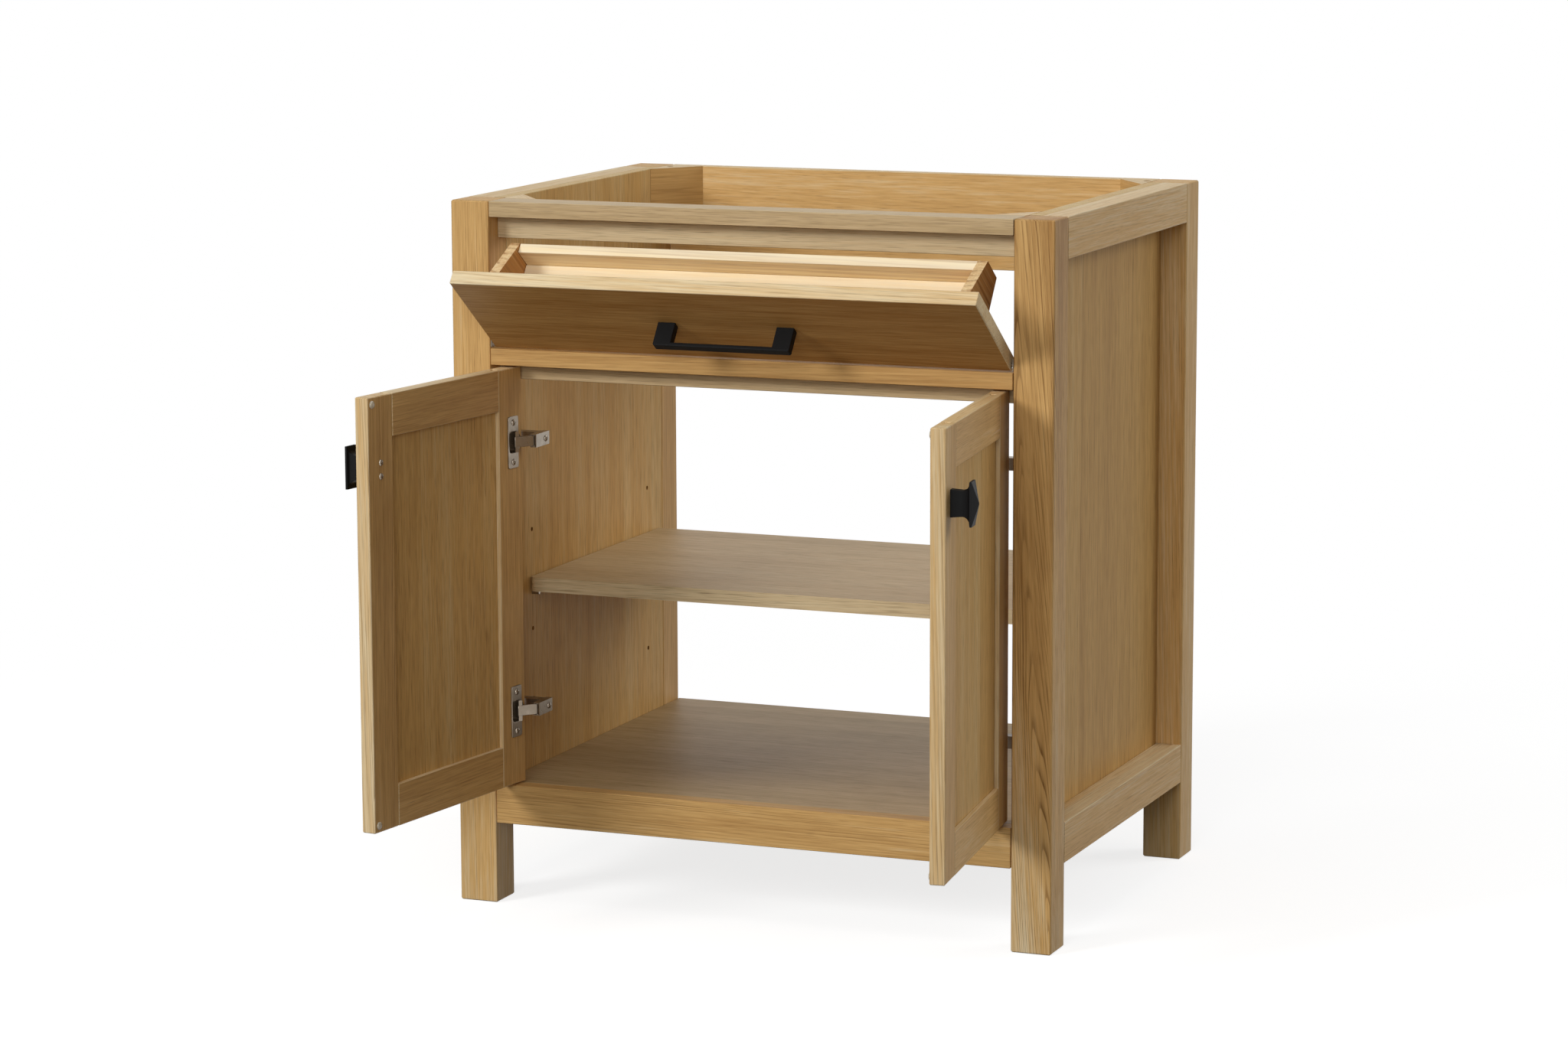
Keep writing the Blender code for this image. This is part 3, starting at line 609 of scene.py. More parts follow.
class Workshop:
    """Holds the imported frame, the finishes and the ways to make and place a piece."""

    def __init__(self, frame: dict[str, Any]) -> None:
        """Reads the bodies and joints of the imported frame.

        Args:
            frame: what the frame loader returned.
        """
        self.frame = frame
        bodies = frame["record"]["behaviour"]["bodies"]
        self.body_of = {node: body for body, nodes in bodies.items() for node in nodes}
        self.closing = {body: Matrix.Identity(4) for body in bodies}
        for joint in frame["joints"]:
            if joint["type"] == "hinge":
                turn = Matrix.Rotation(math.radians(joint["range_deg"][1]), 4, Vector(joint["axis"]))
                centre = Matrix.Translation(Vector(joint["pos_m"]))
                self.closing[joint["child"]] = centre @ turn @ centre.inverted()
        self.materials = {
            finish.name: finish.build() for finish in (OAK, VENEER, SEALED, PINE, NICKEL, BLACK, BUMPER)
        }

    def closed_box(self, node: str) -> tuple[Vector, Vector]:
        """Gives a node's box with every joint closed.

        Args:
            node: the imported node.

        Returns:
            The lowest and the highest corner.
        """
        places = self.to_closed(self.frame["nodes"][node].data, self.body_of[node])
        return Vector(places.min(axis=0)), Vector(places.max(axis=0))

    def to_closed(self, mesh: Mesh, body: str) -> np.ndarray:
        """Moves a mesh's points to where they are with every joint closed.

        Args:
            mesh: a mesh in its place in the open cabinet.
            body: the body that it rides.

        Returns:
            One row of x, y, z for each point.
        """
        places = np.zeros(len(mesh.vertices) * 3)
        mesh.vertices.foreach_get("co", places)
        matrix = np.array(self.closing[body])
        return places.reshape(-1, 3) @ matrix[:3, :3].T + matrix[:3, 3]

    def copy_of(self, node: str) -> Mesh:
        """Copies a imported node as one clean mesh.

        Args:
            node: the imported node.

        Returns:
            A new mesh with its triangles merged into whole faces.
        """
        source = self.frame["nodes"][node].data
        shape = bmesh.new()
        points = [shape.verts.new(vertex.co) for vertex in source.vertices]
        for face in source.polygons:
            shape.faces.new([points[i] for i in face.vertices])
        bmesh.ops.remove_doubles(shape, verts=shape.verts, dist=WELD)
        bmesh.ops.dissolve_limit(shape, angle_limit=math.radians(FLAT_DEG), verts=shape.verts,
                                 edges=shape.edges)
        return mesh_of(shape, node)

    def shaded(self, mesh: Mesh, sharp_deg: float = BOARD_SHARP_DEG) -> Mesh:
        """Makes narrow edge faces read as rounded edges, and wide faces stay flat.

        Args:
            mesh: the mesh to shade.
            sharp_deg: edges sharper than this stay sharp.

        Returns:
            The shaded mesh.
        """
        mesh.shade_smooth()
        mesh.set_sharp_from_angle(angle=math.radians(sharp_deg))
        holder = put("shading", mesh)
        weigh = holder.modifiers.new("even_normals", "WEIGHTED_NORMAL")
        weigh.keep_sharp = True
        weigh.weight = WIDE_FACE_WEIGHT
        return self.baked(holder)

    def baked(self, holder: bpy.types.Object) -> Mesh:
        """Turns an object with modifiers into a plain mesh and removes the object.

        Args:
            holder: the object.

        Returns:
            The plain mesh.
        """
        graph = bpy.context.evaluated_depsgraph_get()
        plain = bpy.data.meshes.new_from_object(
            holder.evaluated_get(graph), preserve_all_data_layers=True, depsgraph=graph
        )
        bpy.data.objects.remove(holder, do_unlink=True)
        return plain

    def opened(self, shape: Shape, body: str, sharp_deg: float) -> Mesh:
        """Moves a shape made in the closed cabinet to its open place and shades it.

        Args:
            shape: the shape, which is freed.
            body: the body that it rides.
            sharp_deg: edges sharper than this stay sharp.

        Returns:
            The shaded mesh.
        """
        bmesh.ops.recalc_face_normals(shape, faces=shape.faces)
        shape.transform(self.closing[body].inverted())
        return self.shaded(mesh_of(shape, "shape"), sharp_deg)

    def place(self, name: str, mesh: Mesh, body: str, slot: Slot, finish: str,
              nodes: Sequence[str] = ()) -> None:
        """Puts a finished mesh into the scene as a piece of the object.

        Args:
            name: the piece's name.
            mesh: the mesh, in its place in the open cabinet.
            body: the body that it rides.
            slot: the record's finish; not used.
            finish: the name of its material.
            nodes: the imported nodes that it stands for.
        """
        mesh.name = name
        mesh.materials.clear()
        mesh.materials.append(self.materials[finish])
        piece = put(name, mesh)
        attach(piece, body)
        if nodes:
            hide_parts(*nodes)
        LOG.info("%s: %d faces on %s", name, len(mesh.polygons), body)

    def place_steel(self, node: str, mesh: Mesh) -> None:
        """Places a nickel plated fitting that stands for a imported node."""
        self.place(f"steel_{node}", mesh, self.body_of[node], Slot.NICKEL, NICKEL.name, [node])

    def place_coated(self, node: str, mesh: Mesh) -> None:
        """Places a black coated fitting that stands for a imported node."""
        self.place(f"coated_{node}", mesh, self.body_of[node], Slot.BLACK, BLACK.name, [node])


@dataclass(frozen=True)
class Board:
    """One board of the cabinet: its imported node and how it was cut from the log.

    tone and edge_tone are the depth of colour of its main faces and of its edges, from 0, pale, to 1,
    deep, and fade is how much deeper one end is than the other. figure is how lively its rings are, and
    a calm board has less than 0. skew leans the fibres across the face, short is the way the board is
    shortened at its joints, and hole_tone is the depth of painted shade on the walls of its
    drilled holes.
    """

    node: str
    grain: Grain
    face: Face
    cut: Cut
    tone: float
    slot: Slot = Slot.OAK
    finish: str = OAK.name
    edge_tone: float | None = None
    figure: float = 0.2
    fade: float = 0.0
    skew: float = 0.0
    short: Grain | None = None
    hole_tone: float | None = None

    def build(self, shop: Workshop) -> None:
        """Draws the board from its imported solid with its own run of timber.

        Args:
            shop: the workshop that holds the frame.
        """
        body = shop.body_of[self.node]
        mesh = shop.shaded(shop.copy_of(self.node))
        places = shop.to_closed(mesh, body)
        local = places - (places.min(axis=0) + places.max(axis=0)) / 2
        turn = shop.closing[body].to_3x3()
        if self.short is not None:
            axis = self.short.value
            self._shorten(mesh, local[:, axis], turn.inverted().col[axis])
        mark(mesh, "grain", "FLOAT_VECTOR", "POINT", self._log_places(local))
        mark(mesh, "figure", "FLOAT", "POINT", np.full(len(local), self.figure))
        mark(mesh, "tone", "FLOAT", "CORNER", self._tones(mesh, local, turn))
        shop.place(f"{self.finish}_{self.node}", mesh, body, self.slot, self.finish, [self.node])

    def _log_places(self, local: np.ndarray) -> np.ndarray:
        """Gives the place of each point in the log that the board was cut from.

        Args:
            local: the points from the board's middle, in the closed cabinet.

        Returns:
            One row for each point: along the fibres, and twice away from the heart.
        """
        along, deep = self.grain.value, self.face.value
        wide = 3 - along - deep
        side, below, slope = self.cut.value
        sway = HEART_SWAY[0] + HEART_SWAY[1] * seed_of(self.node, 1)
        lean = 1.0 if seed_of(self.node, 2) > 0.5 else -1.0
        log = np.empty_like(local)
        log[:, 0] = local[:, along] + LOG_START[0] + LOG_START[1] * seed_of(self.node, 3)
        log[:, 1] = local[:, wide] + lean * side * sway + self.skew * local[:, along]
        log[:, 2] = local[:, deep] + below * sway + lean * slope * local[:, along]
        return log

    def _tones(self, mesh: Mesh, local: np.ndarray, turn: Matrix) -> list[float]:
        """Gives the depth of colour at each corner of each face.

        Args:
            mesh: the board's mesh.
            local: its points from the board's middle, in the closed cabinet.
            turn: the turn from the open to the closed cabinet.

        Returns:
            One number for each corner.
        """
        along, deep = self.grain.value, self.face.value
        edge_tone = self.tone if self.edge_tone is None else self.edge_tone
        share = local[:, along] / (2 * np.abs(local[:, along]).max())
        tones = []
        for face in mesh.polygons:
            base = self.tone if abs((turn @ face.normal)[deep]) > SQUARE_ON else edge_tone
            # Walls of drilled holes get the depth of colour of painted shade
            if self.hole_tone is not None:
                spread = np.ptp(local[list(face.vertices)], axis=0)
                if np.delete(spread, deep).max() < HOLE_FACET:
                    base = self.hole_tone
            tones.extend(base + self.fade * share[vertex] for vertex in face.vertices)
        return tones

    def _shorten(self, mesh: Mesh, run: np.ndarray, way: Vector) -> None:
        """Shortens the board a little at both ends, so that its joints read as fine dark lines.

        Args:
            mesh: the board's mesh.
            run: how far each point lies from the board's middle.
            way: the way to shorten it along, in the open cabinet.
        """
        reach = np.abs(run).max() - END_ZONE
        for vertex, place in zip(mesh.vertices, run):
            if abs(place) > reach:
                vertex.co -= way * math.copysign(JOINT, place)


def outline_around(inside: Callable[[float, float], bool], reach: float, angles: Sequence[float],
                   halvings: int = 40) -> list[Pair]:
    """Finds the edge of a flat shape, seen from a point inside it.

    Args:
        inside: tells whether a point is in the shape.
        reach: a distance that is surely outside it.
        angles: the directions to look in, in radians.
        halvings: how often the distance is halved to find the edge.

    Returns:
        The edge's point in each direction.
    """
    found = []
    for angle in angles:
        near, far = 0.0, reach
        for _ in range(halvings):
            half = (near + far) / 2
            if inside(half * math.cos(angle), half * math.sin(angle)):
                near = half
            else:
                far = half
        found.append((near * math.cos(angle), near * math.sin(angle)))
    return found


def rounded(x: float, y: float, width: float, height: float, corner: float) -> bool:
    """Tells whether a point lies in a rectangle with round corners about the origin.

    Args:
        x: the point's first coordinate.
        y: the point's second coordinate.
        width: the rectangle's size along x.
        height: the rectangle's size along y.
        corner: the radius of its corners.

    Returns:
        True for a point inside.
    """
    out_x = max(abs(x) - width / 2 + corner, 0.0)
    out_y = max(abs(y) - height / 2 + corner, 0.0)
    return math.hypot(out_x, out_y) <= corner and abs(x) < width / 2 and abs(y) < height / 2


def skin(loops: Sequence[Sequence[Vector]]) -> Shape:
    """Joins loops of equal length into one closed shape.

    Args:
        loops: rings of points, from one end of the shape to the other.

    Returns:
        The shape, closed at both ends.
    """
    shape = bmesh.new()
    rings = [[shape.verts.new(point) for point in loop] for loop in loops]
    count = len(rings[0])
    for low, high in zip(rings, rings[1:]):
        for i in range(count):
            j = (i + 1) % count
            shape.faces.new((low[i], low[j], high[j], high[i]))
    shape.faces.new(rings[0])
    shape.faces.new(rings[-1])
    return shape


@dataclass
class Carcass:
    """The fixed frame: posts, rails, side panels, rear boards, floor and corner braces.

    The tones are the depth of colour of the main faces: front left, front right, rear left and rear
    right for the posts, left and right for the side panels.
    """

    post_tones: tuple[float, float, float, float] = (0.40, 0.48, 0.45, 0.36)
    panel_tones: Pair = (0.34, 0.47)
    side_edge: float = 0.14
    brace_tones: Pair = (0.14, 0.54)
    brace_slope: float = 0.77

    def boards(self) -> list[Board]:
        """Lists the boards of the frame.

        Returns:
            The boards.
        """
        up, across, deep = Grain.UPRIGHT, Grain.ACROSS, Grain.DEEP
        made = [
            Board("post_front_left", up, Face.FRONT, Cut.RIFT, self.post_tones[0], fade=0.16),
            # The right post's fade makes it paler towards the floor and deeper towards the top: painted
            # light for the lit leg below the open door's shadow
            Board("post_front_right", up, Face.FRONT, Cut.FLAT, self.post_tones[1], figure=1.0, fade=0.50,
                  skew=0.06),
            Board("post_rear_left", up, Face.FRONT, Cut.RIFT, self.post_tones[2]),
            Board("post_rear_right", up, Face.SIDE, Cut.RIFT, self.post_tones[3]),
            Board("front_top_rail", across, Face.FRONT, Cut.RIFT, 0.48, Slot.OAK, SEALED.name, 0.17,
                  short=across),
            Board("front_mid_rail", across, Face.TOP, Cut.RIFT, 0.60, short=across),
            Board("front_bottom_rail", across, Face.FRONT, Cut.RIFT, 0.45, figure=0.45, short=across),
            # The tray stop rail's grey is the sealed oak's own colour; its extra paleness is painted light
            # against the shadow of the top rail above it
            Board("tray_stop_rail", across, Face.FRONT, Cut.QUARTER, 0.14, Slot.OAK, SEALED.name,
                  figure=0.05),
            Board("door_stop_rail", across, Face.FRONT, Cut.QUARTER, 0.42, Slot.OAK, SEALED.name,
                  figure=0.05),
            Board("rear_top_board", across, Face.FRONT, Cut.FLAT, 0.42, edge_tone=0.15, figure=-0.10),
            Board("rear_bottom_rail", across, Face.FRONT, Cut.RIFT, 0.45),
            Board("bottom_panel", across, Face.TOP, Cut.RIFT, 0.58, Slot.OAK, SEALED.name),
        ]
        for side, panel_tone in zip(Side, self.panel_tones):
            for row, tone in (("top", 0.32), ("bottom", 0.40)):
                made.append(Board(f"side_{row}_rail_{side.label}", deep, Face.SIDE, Cut.RIFT, tone,
                                  Slot.SIDE_OAK, edge_tone=self.side_edge, short=deep))
            made.append(Board(f"side_panel_{side.label}", up, Face.SIDE, Cut.QUARTER, panel_tone,
                              Slot.SIDE_OAK, VENEER.name, self.side_edge, short=deep,
                              hole_tone=HOLE_SHADE_TONE))
            for row, turn in (("front", -1), ("rear", 1)):
                made.append(Board(f"corner_brace_{row}_{side.label}", deep, Face.TOP, Cut.QUARTER,
                                  self.brace_tones[0], edge_tone=self.brace_tones[1], figure=0.0,
                                  skew=turn * side.value * self.brace_slope, hole_tone=HOLE_SHADE_TONE))
        return made

    def build(self, shop: Workshop) -> None:
        """Builds every board of the frame."""
        for board in self.boards():
            board.build(shop)


@dataclass
class Shelf:
    """The loose shelf and its four pins."""

    tone: float = 0.41
    edge_tone: float = 0.17

    def build(self, shop: Workshop) -> None:
        """Builds the shelf and the pins.

        Args:
            shop: the workshop that holds the frame.
        """
        Board("shelf", Grain.ACROSS, Face.TOP, Cut.RIFT, self.tone, Slot.OAK, SEALED.name,
              self.edge_tone).build(shop)
        for side in Side:
            for row in ("front", "rear"):
                node = f"shelf_pin_{row}_{side.label}"
                shop.place_steel(node, shop.shaded(shop.copy_of(node)))


@dataclass
class Door:
    """One framed door with its knob and bumpers.

    A section of the knob is its distance from the door, its width and its height. The stem's first
    section and the bumper's profile are shares of the waist, and of the bumper's radius and height.
    """

    side: Side
    stile_tone: float
    panel_tone: float
    edge_tone: float
    knob_base: Triple = (0.0, 0.0112, 0.0312)
    knob_stem: Triple = (0.5, 1.07, 1.03)
    knob_waist: Triple = (0.0130, 0.0098, 0.0292)
    knob_head: Triple = (0.0222, 0.0198, 0.0502)
    knob_rim: Triple = (0.0024, 0.0002, 0.0002)
    knob_tip: Triple = (0.0310, 0.0008, 0.0024)
    knob_corner: float = 0.0009
    knob_corner_share: float = 0.3
    knob_corner_points: int = 4
    flare_steps: int = 8
    bumper_size: Pair = (0.0095, 0.0022)
    bumper_inset: Pair = (0.0055, 0.0085)
    bumper_profile: tuple[Pair, ...] = (
        (0.94, 0.0), (1.0, 0.12), (0.98, 0.35), (0.86, 0.70), (0.58, 0.93), (0.2, 1.0)
    )
    bumper_points: int = 20

    @property
    def body(self) -> str:
        """The door's body."""
        return f"{self.side.label}_door"

    def build(self, shop: Workshop) -> None:
        """Builds the door's boards, its knob and its bumpers.

        Args:
            shop: the workshop that holds the frame.
        """
        up, across = Grain.UPRIGHT, Grain.ACROSS
        for name, grain, tone, finish, figure in (
            ("hinge_stile", up, self.stile_tone, OAK.name, 0.1),
            ("free_stile", up, self.stile_tone, OAK.name, 0.5),
            ("top_rail", across, self.stile_tone, OAK.name, 0.1),
            ("bottom_rail", across, self.stile_tone, OAK.name, 0.1),
            ("panel", up, self.panel_tone, VENEER.name, 0.1),
        ):
            Board(f"{self.body}_{name}", grain, Face.FRONT, Cut.RIFT, tone, Slot.OAK, finish,
                  self.edge_tone, figure).build(shop)
        self._knob(shop)
        self._bumpers(shop)

    def _knob_sections(self) -> list[Triple]:
        """Lists the knob's sections: a waisted stem that flares to a rim, and a four-sided point.

        Returns:
            The sections, from the door outwards.
        """
        start, end = self.knob_waist, self.knob_head
        sections = [self.knob_base, tuple(size * share for size, share in zip(start, self.knob_stem)), start]
        for step in range(1, self.flare_steps + 1):
            share = step / self.flare_steps
            flare = 1.0 - math.sqrt(max(1.0 - share * share, 0.0))
            sections.append(tuple(low + (high - low) * part
                                  for low, high, part in zip(start, end, (share, flare, flare))))
        sections.append(tuple(size + more for size, more in zip(end, self.knob_rim)))
        sections.append(self.knob_tip)
        return sections

    def _knob(self, shop: Workshop) -> None:
        """Builds the knob.

        Args:
            shop: the workshop that holds the frame.
        """
        node = f"{self.body}_knob"
        low, high = shop.closed_box(node)
        middle = (low + high) / 2
        loops = []
        for reach, width, height in self._knob_sections():
            corner = min(self.knob_corner, width * self.knob_corner_share)
            loop = []
            for turn_x, turn_z, begin in ((1, 1, 0), (-1, 1, 90), (-1, -1, 180), (1, -1, 270)):
                for step in range(self.knob_corner_points):
                    angle = math.radians(begin + 90 * step / (self.knob_corner_points - 1))
                    loop.append(Vector((
                        middle.x + turn_x * (width / 2 - corner) + corner * math.cos(angle),
                        high.y - reach,
                        middle.z + turn_z * (height / 2 - corner) + corner * math.sin(angle),
                    )))
            loops.append(loop)
        shop.place_coated(node, shop.opened(skin(loops), self.body, KNOB_SHARP_DEG))

    def _bumpers(self, shop: Workshop) -> None:
        """Builds the clear bumpers in the free corners of the door's inner face.

        Args:
            shop: the workshop that holds the frame.
        """
        low, high = shop.closed_box(f"{self.body}_free_stile")
        free_x = high.x if self.side is Side.LEFT else low.x
        radius, height = self.bumper_size[0] / 2, self.bumper_size[1]
        x = free_x + self.side.value * (self.bumper_inset[0] + radius / 2)
        turns = [math.tau * i / self.bumper_points for i in range(self.bumper_points)]
        for row, z in (("upper", high.z - self.bumper_inset[1]), ("lower", low.z + self.bumper_inset[1])):
            loops = [
                [Vector((x + radius * share * math.cos(turn), high.y + height * lift,
                         z + radius * share * math.sin(turn))) for turn in turns]
                for share, lift in self.bumper_profile
            ]
            mesh = shop.opened(skin(loops), self.body, BUMPER_SHARP_DEG)
            shop.place(f"bumper_{self.side.label}_{row}", mesh, self.body, Slot.NICKEL, BUMPER.name)


@dataclass
class Hinge:
    """One concealed hinge: cup in the door, link and arm on the cabinet.

    The shoulders, where the edges of the plate and the mouth begin to turn, are shares of its thickness.
    """

    side: Side
    row: str
    plate: Triple = (0.022, 0.063, 0.0015)
    plate_corner: float = 0.0022
    plate_edge: float = 0.0005
    plate_shoulder: float = 0.70
    lobe_radius: float = 0.0135
    lobe_offset: float = 0.0030
    mouth: Triple = (0.0172, 0.0252, 0.0042)
    mouth_depth: float = 0.0105
    mouth_lip: float = 0.0011
    mouth_taper: float = 0.0003
    mouth_shoulders: Pair = (0.75, 0.2)
    wall: float = 0.0009
    outline_points: int = 96
    outline_reach: float = 0.05
    knuckle_radius: float = 0.0019
    knuckle_length: float = 0.0148
    knuckle_sides: int = 24

    @property
    def end(self) -> str:
        """The hinge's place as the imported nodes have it."""
        return f"{self.side.label}_{self.row}"

    def build(self, shop: Workshop) -> None:
        """Builds the hinge's three moving parts.

        Args:
            shop: the workshop that holds the frame.
        """
        self._cup(shop)
        self._link(shop)
        node = f"hinge_arm_{self.end}"
        shop.place_steel(node, shop.shaded(shop.copy_of(node), STEEL_SHARP_DEG))

    def _cup(self, shop: Workshop) -> None:
        """Builds the pressed cup: a plate with a round lobe about a deep mouth.

        Args:
            shop: the workshop that holds the frame.
        """
        node = f"hinge_cup_{self.end}"
        low, high = shop.closed_box(node)
        middle = (low + high) / 2
        angles = [math.tau * i / self.outline_points for i in range(self.outline_points)]
        width, height, thick = self.plate
        plate = outline_around(
            lambda x, z: rounded(x, z, width, height, self.plate_corner)
            or math.hypot(x - self.side.value * self.lobe_offset, z) < self.lobe_radius,
            self.outline_reach, angles,
        )
        mouth = outline_around(lambda x, z: rounded(x, z, *self.mouth), self.outline_reach, angles)

        def ring(points: list[Pair], grow: float, lift: float) -> list[Vector]:
            """Places an outline, grown outwards, at a height over the door's inner face.

            Args:
                points: the outline.
                grow: how far it grows.
                lift: its height over the face.

            Returns:
                The outline's points in the closed cabinet.
            """
            out = []
            for x, z in points:
                share = 1.0 + grow / math.hypot(x, z)
                out.append(Vector((middle.x + x * share, high.y - thick + lift, middle.z + z * share)))
            return out

        # Up the cup's outside, over the plate, and down the mouth to its floor
        loops = [
            ring(mouth, self.wall, -self.mouth_depth - self.wall),
            ring(mouth, self.wall, 0.0),
            ring(plate, 0.0, 0.0),
            ring(plate, 0.0, thick * self.plate_shoulder),
            ring(plate, -self.plate_edge, thick),
            ring(mouth, self.mouth_lip, thick),
            ring(mouth, self.mouth_taper, thick * self.mouth_shoulders[0]),
            ring(mouth, 0.0, thick * self.mouth_shoulders[1]),
            ring(mouth, -self.mouth_taper, -self.mouth_depth),
        ]
        shop.place_steel(node, shop.opened(skin(loops), shop.body_of[node], CUP_SHARP_DEG))

    def _link(self, shop: Workshop) -> None:
        """Builds the link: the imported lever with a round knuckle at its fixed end.

        Args:
            shop: the workshop that holds the frame.
        """
        node = f"hinge_link_{self.end}"
        joint = next(item for item in shop.frame["joints"] if item["child"] == shop.body_of[node])
        shape = bmesh.new()
        shape.from_mesh(shop.copy_of(node))
        low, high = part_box(node)
        knuckle = bmesh.ops.create_cone(
            shape, cap_ends=True, segments=self.knuckle_sides, radius1=self.knuckle_radius,
            radius2=self.knuckle_radius, depth=self.knuckle_length,
        )
        centre = Vector((joint["pos_m"][0], joint["pos_m"][1], (low.z + high.z) / 2))
        bmesh.ops.translate(shape, verts=knuckle["verts"], vec=centre)
        shop.place_steel(node, shop.shaded(mesh_of(shape, node), STEEL_SHARP_DEG))


@dataclass
class TiltFront:
    """The tilt-out front with its handle, tray and pivots."""

    # The front's main faces are deeper than the oak elsewhere: painted shade for its outer face, which looks
    # down while the front stands tilted open
    tone: float = 0.80
    edge_tone: float = 0.06
    handle_edge: float = 0.0008
    handle_segments: int = 2

    def build(self, shop: Workshop) -> None:
        """Builds the front, the tray, the handle and the pivots.

        Args:
            shop: the workshop that holds the frame.
        """
        across, up = Grain.ACROSS, Grain.UPRIGHT
        Board("tilt_front", across, Face.FRONT, Cut.RIFT, self.tone, edge_tone=self.edge_tone).build(shop)
        for node, grain, face, cut, tone, edge_tone, figure in (
            ("tray_back", across, Face.FRONT, Cut.RIFT, 0.46, 0.10, 0.30),
            ("tray_bottom", across, Face.TOP, Cut.RIFT, 0.12, 0.12, 0.05),
            # The tray ends' deep tones are painted shade for the faces that turn away from the key lamp: the
            # inner face of the left end and the outer face of the right end
            ("tray_end_left", up, Face.SIDE, Cut.QUARTER, 0.95, 0.60, 0.80),
            ("tray_end_right", up, Face.SIDE, Cut.QUARTER, 0.95, 0.60, 0.80),
        ):
            Board(node, grain, face, cut, tone, Slot.PINE, PINE.name, edge_tone, figure).build(shop)
        self._handle(shop)
        for side in Side:
            node = f"tilt_pivot_{side.label}"
            shop.place_steel(node, shop.shaded(shop.copy_of(node), STEEL_SHARP_DEG))

    def _handle(self, shop: Workshop) -> None:
        """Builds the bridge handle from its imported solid, with softened edges.

        Args:
            shop: the workshop that holds the frame.
        """
        node = "tilt_handle"
        holder = put("edges", shop.copy_of(node))
        bevel = holder.modifiers.new("soft_edges", "BEVEL")
        bevel.width = self.handle_edge
        bevel.segments = self.handle_segments
        bevel.limit_method = "ANGLE"
        shop.place_coated(node, shop.shaded(shop.baked(holder), STEEL_SHARP_DEG))


